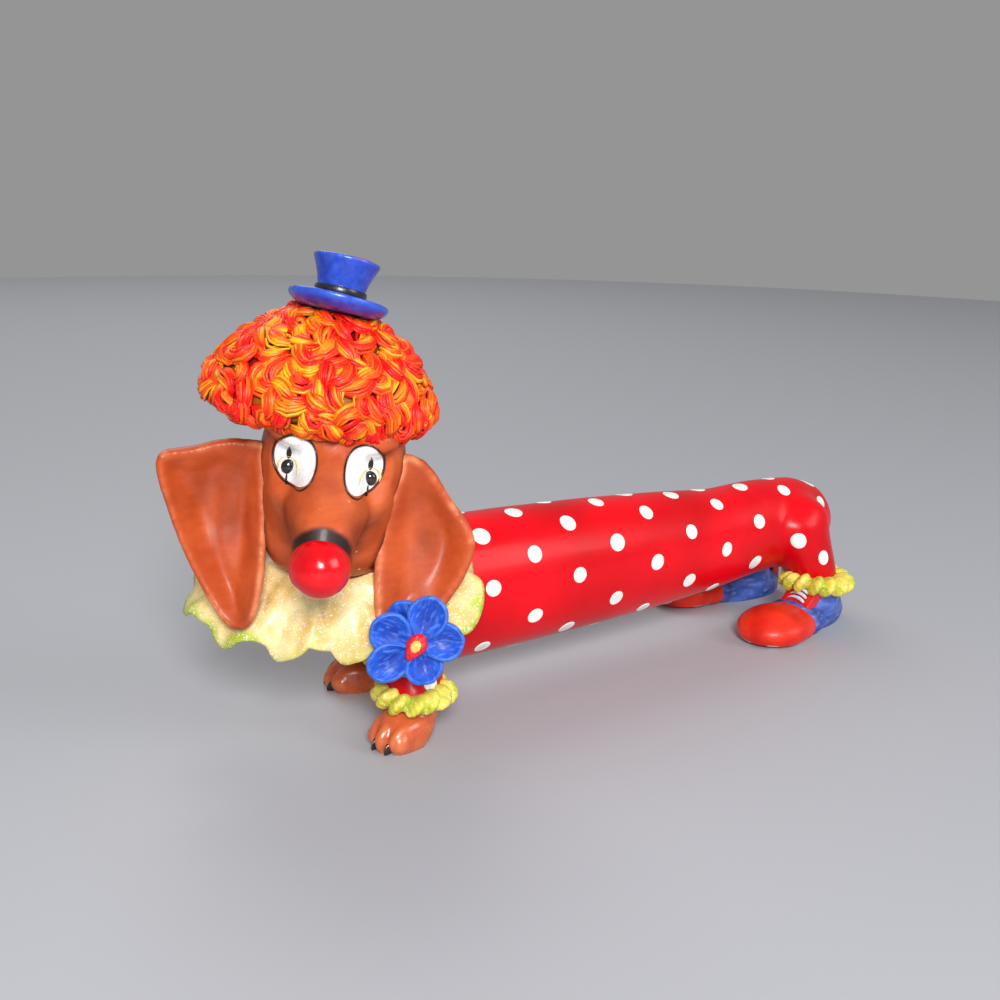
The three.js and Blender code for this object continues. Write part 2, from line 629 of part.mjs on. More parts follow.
const flowerPlace = new THREE.Matrix4()
  .makeTranslation(frontLegX - flowerAhead, -frontLegSide - flowerOut, torsoCentre + flowerRise)
  .multiply(new THREE.Matrix4().makeRotationFromEuler(
    new THREE.Euler(radians(flowerTilt), 0, radians(flowerTurn), 'ZYX')));
const flowerReach = petalMiddle + petalLength / 2 + gap;
const flowerRoom = toSolid(egg(flowerReach + 1, flowerReach + 1, 4), flowerPlace);
addPart(dog, 'ruff', cut(toSolid(ruffShape()), neckRoom, torsoRoom, headWorldRoom, ...earWorldRoom,
  ...legRoom, flowerRoom), 'ruffYellow');
const backing = egg(petalMiddle + 1, petalMiddle + 1, backingThickness / 2, 18, 6)
  .translate(0, 0, -(backingThickness + petalThickness) / 2 - gap);
addPart(dog, 'flower_backing', cut(toSolid(backing, flowerPlace), ...earWorldRoom), 'blue');
for (let i = 0; i < petalCount; i += 1) {
  const place = flowerPlace.clone()
    .multiply(new THREE.Matrix4().makeRotationZ((i / petalCount) * 2 * Math.PI));
  addPart(dog, `flower_petal_${i + 1}`, cut(toSolid(petalShape(), place), ...earWorldRoom), 'blue');
}
const heartRise = petalThickness / 2 + gap + heartThickness / 2;
const beadRise = heartRise + (heartThickness + beadThickness) / 2 + gap;
const heart = egg(heartRadius * 0.8, heartRadius, heartThickness / 2, 12, 6).translate(0, 0, heartRise);
addPart(dog, 'flower_heart', toSolid(heart, flowerPlace), 'suit');
const bead = egg(beadRadius, beadRadius, beadThickness / 2, 10, 6).translate(0, -0.3, beadRise);
addPart(dog, 'flower_bead', toSolid(bead, flowerPlace), 'beadYellow');

const tailRoot = new THREE.Vector3(torsoFront + torsoLength - 3, 0, torsoCentre - 1);
const tailTip = tailRoot.clone().add(new THREE.Vector3(tailOut, tailSwing, -tailLength));
const tail = limb(tailRoot, tailTip, tailRadius, tailRadius * 0.5);
addPart(dog, 'tail', cut(toSolid(tail), torsoRoom), 'fur');

// the origin is on the ground under the middle of the whole figure
dog.updateMatrixWorld(true);
const extent = new THREE.Box3().setFromObject(dog, true);
dog.position.set(-(extent.min.x + extent.max.x) / 2, -(extent.min.y + extent.max.y) / 2, -extent.min.z);
dog.updateMatrixWorld(true);

export default dog;
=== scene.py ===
# Clown dachshund figurine, cast and painted: a long dotted body on paws and shoes, its head turned aside.
import math, random
import bpy
import numpy as np
from mathutils import Euler, Matrix, Vector, noise
from mathutils.bvhtree import BVHTree
from mathutils.kdtree import KDTree


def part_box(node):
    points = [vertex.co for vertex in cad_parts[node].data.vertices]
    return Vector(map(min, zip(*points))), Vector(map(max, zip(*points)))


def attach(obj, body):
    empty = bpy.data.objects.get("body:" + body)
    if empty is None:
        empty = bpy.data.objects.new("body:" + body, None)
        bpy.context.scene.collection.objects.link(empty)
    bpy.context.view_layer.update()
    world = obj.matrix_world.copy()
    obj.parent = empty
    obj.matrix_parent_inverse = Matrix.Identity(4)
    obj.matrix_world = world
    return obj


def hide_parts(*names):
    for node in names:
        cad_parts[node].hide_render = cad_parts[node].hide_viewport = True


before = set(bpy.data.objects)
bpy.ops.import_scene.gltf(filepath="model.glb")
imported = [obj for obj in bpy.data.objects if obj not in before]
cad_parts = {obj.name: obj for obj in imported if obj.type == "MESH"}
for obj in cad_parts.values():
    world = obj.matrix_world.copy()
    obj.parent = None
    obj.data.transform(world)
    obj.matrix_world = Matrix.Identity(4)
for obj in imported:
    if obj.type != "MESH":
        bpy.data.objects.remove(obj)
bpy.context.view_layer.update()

mm = 0.001


# selection, joining and modifiers
def clearSelection():
    if bpy.context.object and bpy.context.object.mode != "OBJECT":
        bpy.ops.object.mode_set(mode="OBJECT")
    bpy.ops.object.select_all(action="DESELECT")


def pick(piece):
    clearSelection()
    piece.select_set(True)
    bpy.context.view_layer.objects.active = piece
    return piece


def applyPlace(piece):
    pick(piece)
    bpy.ops.object.transform_apply(location=True, rotation=True, scale=True)
    return piece


def useModifier(piece, kind, **settings):
    pick(piece)
    step = piece.modifiers.new(kind.lower(), kind)
    for key, value in settings.items():
        setattr(step, key, value)
    bpy.ops.object.modifier_apply(modifier=step.name)
    return piece


def joinPieces(name, parts):
    clearSelection()
    for part in parts:
        part.select_set(True)
    bpy.context.view_layer.objects.active = parts[0]
    if len(parts) > 1:
        bpy.ops.object.join()
    return nameIt(parts[0], name)


def editWhole(piece):
    pick(piece)
    bpy.ops.object.mode_set(mode="EDIT")
    bpy.ops.mesh.select_all(action="SELECT")


def mergeDoubles(piece, distance=0.01):
    editWhole(piece)
    bpy.ops.mesh.remove_doubles(threshold=distance * mm)
    bpy.ops.mesh.normals_make_consistent(inside=False)
    bpy.ops.object.mode_set(mode="OBJECT")
    return piece


def nameIt(piece, name):
    piece.name = piece.data.name = name
    return piece


def smoothShade(piece, angle=None):
    pick(piece)
    if angle:
        bpy.ops.object.shade_smooth_by_angle(angle=math.radians(angle))
    else:
        bpy.ops.object.shade_smooth()
    return piece


def swell(piece, amount):
    return useModifier(piece, "DISPLACE", strength=amount * mm, mid_level=0)


def surfaceTree(piece):
    return BVHTree.FromObject(piece, bpy.context.evaluated_depsgraph_get())


def faceAlong(piece, direction):
    # an open sheet turned so that its front looks along a direction
    if (readNormals(piece) @ np.array(direction)).mean() < 0:
        editWhole(piece)
        bpy.ops.mesh.flip_normals()
        bpy.ops.object.mode_set(mode="OBJECT")


def cadCopy(*nodes):
    copies = []
    for node in nodes:
        piece = bpy.data.objects.new(node + "_clay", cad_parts[node].data.copy())
        bpy.context.scene.collection.objects.link(piece)
        piece.data.materials.clear()
        copies.append(mergeDoubles(piece))
    return copies


def localPlace(place, centre=(0, 0, 0), turn=(0, 0, 0), size=(1, 1, 1)):
    return (place @ Matrix.Translation(Vector(centre) * mm)
            @ Euler([math.radians(a) for a in turn]).to_matrix().to_4x4()
            @ Matrix.Diagonal((*[s * mm for s in size], 1)))


def turnAbout(axis, degrees):
    return Matrix.Rotation(math.radians(degrees), 4, axis)


def clayBall(place, centre, radii, turn=(0, 0, 0), segments=32, rings=20):
    bpy.ops.mesh.primitive_uv_sphere_add(segments=segments, ring_count=rings, radius=1)
    ball = bpy.context.object
    ball.matrix_world = localPlace(place, centre, turn, radii)
    return applyPlace(ball)


def clayRope(place, points, thickness, sides=12):
    # a closed limb: one circle extruded along its points and resized at each
    clearSelection()
    path = [place @ (Vector(p) * mm) for p in points]
    start = (path[1] - path[0]).to_track_quat("Z", "Y")
    bpy.ops.mesh.primitive_circle_add(vertices=sides, radius=thickness[0] * mm, fill_type="NGON",
                                      location=path[0], rotation=start.to_euler())
    rope = applyPlace(bpy.context.object)
    bpy.ops.object.mode_set(mode="EDIT")
    bpy.ops.mesh.select_all(action="SELECT")
    for index in range(1, len(path)):
        bpy.ops.mesh.extrude_region_move(TRANSFORM_OT_translate={"value": path[index] - path[index - 1]})
        share = thickness[index] / thickness[index - 1]
        bpy.ops.transform.resize(value=(share, share, share), center_override=path[index])
    bpy.ops.object.mode_set(mode="OBJECT")
    return mergeDoubles(rope)


def fuseClay(name, parts, voxel, smoothing=4):
    piece = joinPieces(name, parts)
    useModifier(piece, "REMESH", mode="VOXEL", voxel_size=voxel * mm)
    if smoothing:
        useModifier(piece, "SMOOTH", factor=0.5, iterations=smoothing)
    smoothShade(piece)
    return piece


# points, hollows and paint
def readPoints(piece):
    points = np.empty(len(piece.data.vertices) * 3, dtype=np.float32)
    piece.data.vertices.foreach_get("co", points)
    return points.reshape(-1, 3).astype(np.float64)


def writePoints(piece, points):
    piece.data.vertices.foreach_set("co", points.astype(np.float32).ravel())
    piece.data.update()


def readNormals(piece):
    normals = np.empty(len(piece.data.vertices) * 3, dtype=np.float32)
    piece.data.vertex_normals.foreach_get("vector", normals)
    return normals.reshape(-1, 3).astype(np.float64)


def inFrame(points, place):
    # metres in the scene to millimetres in a piece's own frame
    inverse = np.array(place.inverted())
    return (points @ inverse[:3, :3].T + inverse[:3, 3]) / mm


def outFrame(spots, place):
    return (spots * mm) @ np.array(place)[:3, :3].T + np.array(place)[:3, 3]


def averaged(piece, values, rounds):
    edges = np.empty(len(piece.data.edges) * 2, dtype=np.int32)
    piece.data.edges.foreach_get("vertices", edges)
    edges = edges.reshape(-1, 2)
    one = np.concatenate([edges[:, 0], edges[:, 1]])
    other = np.concatenate([edges[:, 1], edges[:, 0]])
    count = np.maximum(np.bincount(one, minlength=len(values)), 1)[:, None]
    flat = values.reshape(len(values), -1).copy()
    for _ in range(rounds):
        total = np.stack([np.bincount(one, flat[other, c], len(flat)) for c in range(flat.shape[1])], 1)
        flat = total / count
    return flat.reshape(values.shape)


def hollows(piece, rounds):
    # above zero in grooves, below zero on ridges, in millimetres
    points = readPoints(piece)
    return ((averaged(piece, points, rounds) - points) * readNormals(piece)).sum(1) / mm


def linear(colour):
    share = np.asarray(colour, dtype=np.float64) / 255
    return np.where(share <= 0.04045, share / 12.92, ((share + 0.055) / 1.055) ** 2.4)


def blend(first, second, amount):
    # a colour straight from a look is turned into linear light first
    first, second = (linear(tone) if isinstance(tone, tuple) else tone for tone in (first, second))
    amount = np.clip(np.asarray(amount, dtype=np.float64), 0, 1)[..., None]
    return first * (1 - amount) + second * amount


def soft(values, low, high):
    share = np.clip((np.asarray(values) - low) / (high - low), 0, 1)
    return share * share * (3 - 2 * share)


def cloud(points, scale, seed=0.0, detail=2):
    # soft noise over a list of points in metres; scale is the size of a blotch in millimetres
    shift = Vector((seed * 7.3, seed * 3.1, seed * 5.7))
    size = scale * mm
    return np.array([noise.fractal(Vector(p) / size + shift, 1.0, 2.0, detail) for p in points])


def paintPiece(piece, colours):
    layer = piece.data.color_attributes.get("paint") or \
        piece.data.color_attributes.new("paint", "FLOAT_COLOR", "POINT")
    filled = np.ones((len(colours), 4), dtype=np.float32)
    filled[:, :3] = np.clip(colours, 0, 1)
    layer.data.foreach_set("color", filled.ravel())


# brushed paint over a cast body: two shades in blotches, brush lines, pinholes and small pale nicks
def clayPaint(name, light, dark, blotch=7, rough=(0.25, 0.42), streak=0.25, grain=0.12, nicks=0.0,
              nickColour=(240, 225, 205), coat=0.3, shine=0.5, painted=False):
    finish = bpy.data.materials.new(name)
    finish.use_nodes = True
    nodes, links = finish.node_tree.nodes, finish.node_tree.links
    shader = nodes["Principled BSDF"]
    shader.inputs["Coat Weight"].default_value = coat
    shader.inputs["Coat Roughness"].default_value = 0.16
    shader.inputs["Specular IOR Level"].default_value = shine
    spot = nodes.new("ShaderNodeTexCoord")

    def noiseAt(scale, detail, source=None):
        pattern = nodes.new("ShaderNodeTexNoise")
        pattern.inputs["Scale"].default_value = scale
        pattern.inputs["Detail"].default_value = detail
        pattern.inputs["Roughness"].default_value = 0.55
        links.new(source or spot.outputs["Object"], pattern.inputs["Vector"])
        return pattern

    def spread(source, low, high, toLow, toHigh):
        step = nodes.new("ShaderNodeMapRange")
        for key, value in (("From Min", low), ("From Max", high), ("To Min", toLow), ("To Max", toHigh)):
            step.inputs[key].default_value = value
        links.new(source, step.inputs["Value"])
        return step.outputs["Result"]

    def mixed(kind, amount, first, second):
        step = nodes.new("ShaderNodeMix")
        step.data_type = "RGBA"
        step.blend_type = kind
        for socket, value in ((step.inputs[0], amount), (step.inputs[6], first), (step.inputs[7], second)):
            if hasattr(value, "links"):
                links.new(value, socket)
            else:
                socket.default_value = value
        return step.outputs[2]

    def grey(value):
        step = nodes.new("ShaderNodeCombineColor")
        for channel in ("Red", "Green", "Blue"):
            links.new(value, step.inputs[channel])
        return step.outputs["Color"]

    blotches = noiseAt(1 / (blotch * mm), 3)
    stretch = nodes.new("ShaderNodeMapping")
    stretch.inputs["Scale"].default_value = (0.16, 1, 1)
    links.new(spot.outputs["Object"], stretch.inputs["Vector"])
    brush = noiseAt(900, 2, stretch.outputs["Vector"])
    fine = noiseAt(2600, 2)
    if painted:
        layer = nodes.new("ShaderNodeAttribute")
        layer.attribute_name = "paint"
        tone = spread(blotches.outputs["Fac"], 0.3, 0.7, 0.86, 1.08)
        colour = mixed("MULTIPLY", 1.0, layer.outputs["Color"], grey(tone))
    else:
        colour = mixed("MIX", spread(blotches.outputs["Fac"], 0.32, 0.68, 0, 1),
                       (*linear(dark), 1), (*linear(light), 1))
    colour = mixed("SOFT_LIGHT", streak, colour, grey(spread(brush.outputs["Fac"], 0.3, 0.7, 0.25, 0.75)))
    if nicks:
        chips = nodes.new("ShaderNodeTexVoronoi")
        chips.inputs["Scale"].default_value = 260
        links.new(spot.outputs["Object"], chips.inputs["Vector"])
        rare = noiseAt(70, 1)
        near = spread(chips.outputs["Distance"], 0.10, 0.05, 0, 1)
        few = spread(rare.outputs["Fac"], 0.66 - nicks * 0.1, 0.68 - nicks * 0.1, 0, 1)
        both = nodes.new("ShaderNodeMath")
        both.operation = "MULTIPLY"
        links.new(near, both.inputs[0])
        links.new(few, both.inputs[1])
        colour = mixed("MIX", both.outputs[0], colour, (*linear(nickColour), 1))
    links.new(colour, shader.inputs["Base Color"])
    links.new(spread(blotches.outputs["Fac"], 0.3, 0.7, rough[0], rough[1]), shader.inputs["Roughness"])
    heights = nodes.new("ShaderNodeMath")
    heights.operation = "MULTIPLY_ADD"
    links.new(brush.outputs["Fac"], heights.inputs[0])
    heights.inputs[1].default_value = 0.6
    links.new(fine.outputs["Fac"], heights.inputs[2])
    bump = nodes.new("ShaderNodeBump")
    bump.inputs["Strength"].default_value = grain
    bump.inputs["Distance"].default_value = 0.12 * mm
    links.new(heights.outputs[0], bump.inputs["Height"])
    links.new(bump.outputs["Normal"], shader.inputs["Normal"])
    return finish


def dress(piece, finish, slot, *nodes, body="root"):
    piece.data.materials.clear()
    piece.data.materials.append(finish)
    if nodes:
        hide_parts(*nodes)
    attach(piece, body)
    return piece


def middle(node):
    low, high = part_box(node)
    return (low + high) / 2


# camera, floor and light
studio = {"place": (-0.1901, -0.2399, 0.1272), "target": (-0.0109, 0.0117, 0.04365), "roll": 1.44,
          "lens": 47.4, "floor": (172, 174, 180), "world": 0.6}
aim = (Vector(studio["target"]) - Vector(studio["place"])).to_track_quat("-Z", "Y").to_matrix().to_4x4()
bpy.ops.object.camera_add()
camera = bpy.context.object
camera.matrix_world = (Matrix.Translation(studio["place"]) @ aim
                       @ Matrix.Rotation(math.radians(studio["roll"]), 4, "Z"))
camera.data.lens = studio["lens"]
camera.data.sensor_width = 36
camera.data.clip_start = 0.01
bpy.context.scene.camera = camera
bpy.context.scene.view_settings.view_transform = "Standard"

bpy.ops.mesh.primitive_circle_add(vertices=160, radius=1.0, fill_type="NGON")
floor = bpy.context.object
floor.name = "floor"
floorFinish = bpy.data.materials.new("pale_floor")
floorFinish.use_nodes = True
floorShader = floorFinish.node_tree.nodes["Principled BSDF"]
floorShader.inputs["Base Color"].default_value = (*linear(studio["floor"]), 1)
floorShader.inputs["Roughness"].default_value = 0.6
floor.data.materials.append(floorFinish)


def softLight(name, place, power, size, tint=(1, 1, 1)):
    bpy.ops.object.light_add(type="AREA", location=place)
    lamp = bpy.context.object
    lamp.name = name
    lamp.rotation_euler = (Vector((-0.01, 0, 0.04)) - Vector(place)).to_track_quat("-Z", "Y").to_euler()
    lamp.data.energy, lamp.data.size, lamp.data.color = power, size, tint


softLight("key_light", (-0.36, -0.6, 0.42), 6.6, 0.22)
softLight("fill_light", (0.55, -0.85, 0.55), 3.8, 0.5)
softLight("back_light", (0.15, 0.75, 0.8), 3.4, 0.6)
world = bpy.data.worlds.new("studio")
bpy.context.scene.world = world
world.use_nodes = True
world.node_tree.nodes["Background"].inputs["Color"].default_value = (*[studio["world"]] * 3, 1)
world.node_tree.nodes["Background"].inputs["Strength"].default_value = 0.5
print("camera, floor and lights ready")

# head frame: its own x runs back from the nose, y to the dog's right, z up
headPose = {"turn": 60, "roll": 6.5, "nose": (-27, 0, -15.5)}
headTurn = turnAbout("Z", headPose["turn"]) @ turnAbout("X", headPose["roll"])
skullPlace = middle("nose_ball") - headTurn @ (Vector(headPose["nose"]) * mm)
headFrame = Matrix.Translation(skullPlace) @ headTurn


def inHead(points):
    return inFrame(points, headFrame)


# suit: body, sleeves and trouser legs in one glossy skin
suitLook = {"red": (226, 0, 20), "shade": (200, 0, 14), "deep": (128, 0, 8), "voxel": 0.72, "leanIn": 4.5,
            "legsForward": 3.0}
suitParts = cadCopy("torso", "left_sleeve", "right_sleeve", "left_trouser_leg", "right_trouser_leg")
for part in suitParts:
    swell(part, 0.28)
    if "leg" in part.name or "sleeve" in part.name:
        # the tops of the limbs lean in under the body so no shoulder stands out
        points = readPoints(part)
        low, high = points[:, 2].min(), points[:, 2].max()
        lean = soft(points[:, 2], low + 0.45 * (high - low), high)
        points[:, 1] -= math.copysign(suitLook["leanIn"] * mm, points[:, 1].mean()) * lean
        points[:, 0] -= (suitLook["legsForward"] * mm if "leg" in part.name else 0) * lean
        writePoints(part, points)
for node, share in (("left_sleeve", 0.72), ("right_sleeve", 0.72),
                    ("left_trouser_leg", 0.7), ("right_trouser_leg", 0.7)):
    # shoulders and hips: two balls inside the top of each limb
    low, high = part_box(node)
    top = Vector(((low.x + high.x) / 2, (low.y + high.y) / 2, low.z + (high.z - low.z) * share)) / mm
    inward = -1 if top.y > 0 else 1
    suitParts.append(clayBall(Matrix(), (top.x, top.y + inward * 1.6, top.z), (6.8, 5.8, 7.6)))
    suitParts.append(clayBall(Matrix(), (top.x - 2.2, top.y + inward * 4.0, top.z - 0.5), (9.0, 6.2, 9.6)))
suit = fuseClay("suit", suitParts, suitLook["voxel"], 60)
suitHollow = hollows(suit, 40)
suitPoints = readPoints(suit)
suitTone = blend(suitLook["red"], suitLook["shade"], 0.5 + 0.9 * cloud(suitPoints, 22, 1))
# painted shade: the suit goes deep red in its hollows, where the limbs meet the body
suitTone = blend(suitTone, suitLook["deep"], soft(suitHollow, 0.15, 1.6) * 0.8)
paintPiece(suit, suitTone)
suitFinish = clayPaint("suit_red_gloss", suitLook["red"], suitLook["shade"], blotch=16, rough=(0.28, 0.4),
                       streak=0.08, grain=0.1, coat=0.12, shine=0.2, painted=True)
dress(suit, suitFinish, "suit_red", "torso", "left_sleeve", "right_sleeve", "left_trouser_leg",
      "right_trouser_leg")
print("suit fused from body and limbs")

# polka dots: staggered rows along the body, one modelled dot copied and wrapped onto the suit
# each row has its angle up from the dog's left side at the shoulders and at the waist
dotLook = {"radius": 2.2, "gap": 6.2,
           "rows": ((81, 83), (60.5, 60), (38, 27), (12, -5), (-26, -36), (-54, -63), (-79, -84)),
           "spacing": 25.4, "firstPlace": -26.2, "stagger": 12.8, "axis": 26.7, "waist": 66,
           "rump": ((76, 64), (91, 40), (74.5, -6), (81.5, -21), (77, 98), (92, 86), (97, 8), (93, -30)),
           "white": (252, 251, 247), "grey": (228, 225, 218), "lift": 0.14}
suitTree = surfaceTree(suit)
torsoLow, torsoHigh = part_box("torso")
rumpTurn = torsoHigh.x - 13.5 * mm


def suitSpot(along, angle):
    # the ray meets the body from outside, aimed at its middle line, and swings round the rump past its turn
    start = Vector((min(along * mm, rumpTurn), (torsoLow.y + torsoHigh.y) / 2, dotLook["axis"] * mm))
    swing = (along * mm - start.x) / (14 * mm)
    flat, tilt = math.cos(swing), math.radians(angle)
    ray = Vector((math.sin(swing), -math.cos(tilt) * flat, math.sin(tilt) * flat))
    return suitTree.ray_cast(start + ray * 0.06, -ray, 0.08)[:2]


clearSelection()
bpy.ops.mesh.primitive_circle_add(vertices=18, radius=dotLook["radius"] * mm, fill_type="NGON")
firstDot = bpy.context.object
bpy.ops.object.mode_set(mode="EDIT")
bpy.ops.mesh.select_all(action="SELECT")
for thickness in (0.28, 0.7, 0.7):
    bpy.ops.mesh.inset(thickness=thickness * mm)
bpy.ops.object.mode_set(mode="OBJECT")
dotPlaces = []
for side in (1, -1):
    for along, angle in dotLook["rump"]:
        dotPlaces.append(suitSpot(along - (1 - side) * 2, angle if side > 0 else 176 - angle))
    for row, (front, waist) in enumerate(dotLook["rows"]):
        even = (row in (1, 3, 5)) == (side > 0)
        for step in range(-2, 5):
            along = dotLook["firstPlace"] + (0 if even else dotLook["stagger"]) + step * dotLook["spacing"]
            if along * mm < torsoLow.x + 6 * mm or along > dotLook["waist"]:
                continue
            angle = front + (waist - front) * (along + 25) / 85
            dotPlaces.append(suitSpot(along, angle if side > 0 else 180 - angle))
dotPlaces = [(spot, facing) for spot, facing in dotPlaces if spot is not None and spot.z > 0.006]
for node, turns in (("left_sleeve", (-100, 20)), ("right_sleeve", (160, 250)),
                    ("left_trouser_leg", (-60,)), ("right_trouser_leg", (60,))):
    low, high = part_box(node)
    centre = (low + high) / 2
    for turn in turns:
        ray = Vector((math.cos(math.radians(turn)), math.sin(math.radians(turn)), 0))
        shin = Vector((centre.x, centre.y, low.z + 5.5 * mm))
        spot, facing = suitTree.ray_cast(shin + ray * 0.03, -ray, 0.04)[:2]
        if spot is not None:
            dotPlaces.append((spot, facing))
keptPlaces = []
for spot, facing in dotPlaces:
    if all((spot - other).length > dotLook["gap"] * mm for other, _ in keptPlaces):
        keptPlaces.append((spot, facing))
dotCopies = []
chance = random.Random(4)
for spot, facing in keptPlaces:
    dot = bpy.data.objects.new("dot", firstDot.data.copy())
    bpy.context.scene.collection.objects.link(dot)
    grow = 1 + chance.uniform(-0.09, 0.09)
    spin = Matrix.Rotation(chance.uniform(0, 3), 4, "Z")
    spin = spin @ Matrix.Diagonal((grow, grow * chance.uniform(0.9, 1.05), 1, 1))
    upright = facing.to_track_quat("Z", "Y").to_matrix().to_4x4()
    dot.data.transform(Matrix.Translation(spot + facing * 0.5 * mm) @ upright @ spin)
    dotCopies.append(dot)
bpy.data.objects.remove(firstDot)
dots = joinPieces("polka_dots", dotCopies)
useModifier(dots, "SHRINKWRAP", target=suit, wrap_method="NEAREST_SURFACEPOINT", wrap_mode="ABOVE_SURFACE",
            offset=dotLook["lift"] * mm)
useModifier(dots, "SOLIDIFY", thickness=0.42 * mm, offset=-1)
useModifier(dots, "SUBSURF", levels=1, render_levels=1)
smoothShade(dots)
dotFinish = clayPaint("dot_white", dotLook["white"], dotLook["grey"], blotch=3, rough=(0.3, 0.45), streak=0.1,
                      grain=0.15, coat=0.25)
dress(dots, dotFinish, "eye_white")
print("polka dots:", len(keptPlaces))


# head: skull, brows, muzzle and lips pressed together from clay, on a neck that ends in the body
headLook = {"fur": (186, 76, 32), "light": (202, 92, 42), "dark": (112, 44, 20), "darkBrown": (38, 15, 10),
            "voxel": 0.46}
headParts = cadCopy("head", "neck")
for part in headParts:
    swell(part, 0.25)
# brow, cheek, jaw hinge and lip of either side: centre, radii and turn
faceLumps = (((-11.5, 7.4, 7.2), (5.2, 5.6, 3.6), (0, -18, 0)),
             ((-7.5, 6.8, -7.5), (7.6, 6.6, 10.5), (0, 0, 0)),
             ((-2.5, 5.6, -15.0), (9.0, 7.6, 9.5), (0, 0, 0)),
             ((-19.5, 3.9, -16.0), (6.6, 3.9, 4.8), (0, 14, 8)))
for side in (1, -1):
    for (x, y, z), radii, (roll, tip, yaw) in faceLumps:
        headParts.append(clayBall(headFrame, (x, side * y, z), radii, (roll, tip, side * yaw)))
headParts.append(clayRope(headFrame, [(-7, 0, 2), (-13, 0, -4), (-18, 0, -9), (-22.4, 0, -12.2)],
                          [8.5, 8.2, 7.6, 6.8], 28))
headParts.append(clayBall(headFrame, (-23.2, 0, -13.0), (5.8, 7.2, 6.4), (0, 24, 0)))
headParts.append(clayBall(headFrame, (-16, 0, -20.5), (8.5, 5.6, 4.2), (0, 16, 0)))  # lower jaw
dogHead = fuseClay("dog_head", headParts, headLook["voxel"], 34)
spots = inHead(readPoints(dogHead))
# the lower half of the face narrows toward the muzzle
spots[:, 1] *= 1 - 0.22 * soft(-spots[:, 2], 5, 14) * soft(-spots[:, 0], 5, 14)
writePoints(dogHead, outFrame(spots, headFrame))
# eye hollows and the crease between lips and jaw, as a thumb would press them
pressed = np.zeros(len(spots))
for side in (1, -1):
    away = np.linalg.norm((spots - (-14.2, side * 7.9, 1.6)) / (6, 6.6, 7.0), axis=1)
    pressed += 0.9 * soft(1.15 - away, 0, 0.6)
lipLine = np.abs(spots[:, 2] + 18.6 + 0.10 * (spots[:, 0] + 22)) / 1.1
pressed += 0.55 * np.exp(-lipLine ** 2) * soft(-spots[:, 0], 9, 14) * soft(-spots[:, 2], 14, 16)
writePoints(dogHead, readPoints(dogHead) - readNormals(dogHead) * pressed[:, None] * mm)
spots = inHead(readPoints(dogHead))
fur = blend(headLook["fur"], headLook["light"], 0.5 + cloud(spots * mm, 6, 3))
# painted shade in the face's hollows, along the top under the wig and under the jaw; between the eyes and
# down the muzzle sides it is the figurine's airbrushed brown together with painted shade
shade = 0.55 * soft(hollows(dogHead, 30), 0.1, 0.9)
betweenEyes = np.linalg.norm((spots - (-15, 0, -3.5)) / (7, 4.4, 7), axis=1)
shade += 0.62 * np.exp(-betweenEyes ** 2)
shade += 0.75 * soft(np.abs(spots[:, 1]), 2.6, 6.0) * soft(-spots[:, 2], 4, 10) * soft(-spots[:, 0], 9, 15)
shade += 0.5 * soft(spots[:, 2], 6, 11) + 0.4 * soft(-spots[:, 2], 17, 22)
fur = blend(fur, headLook["dark"], shade * (0.9 + 0.35 * cloud(spots * mm, 3.2, 8)))
# a near-black band round the upper half of the nose ball, where it meets the muzzle
fromNose = np.linalg.norm((spots - headPose["nose"]) * (1, 1.2, 1), axis=1)
ring = soft(8.7 - fromNose + 0.25 * cloud(spots * mm, 2.5, 5), 0, 1.0) * soft(spots[:, 2], -16, -12)
headTones = blend(fur, headLook["darkBrown"], ring)
headFinish = clayPaint("fur_brown_paint", headLook["fur"], headLook["dark"], blotch=6, rough=(0.4, 0.56),
                       streak=0.2, grain=0.22, nicks=0.5, nickColour=(226, 150, 104), coat=0.12, shine=0.35,
                       painted=True)
dress(dogHead, headFinish, "fur_brown", "head", "neck")
headTree = surfaceTree(dogHead)
print("head pressed")
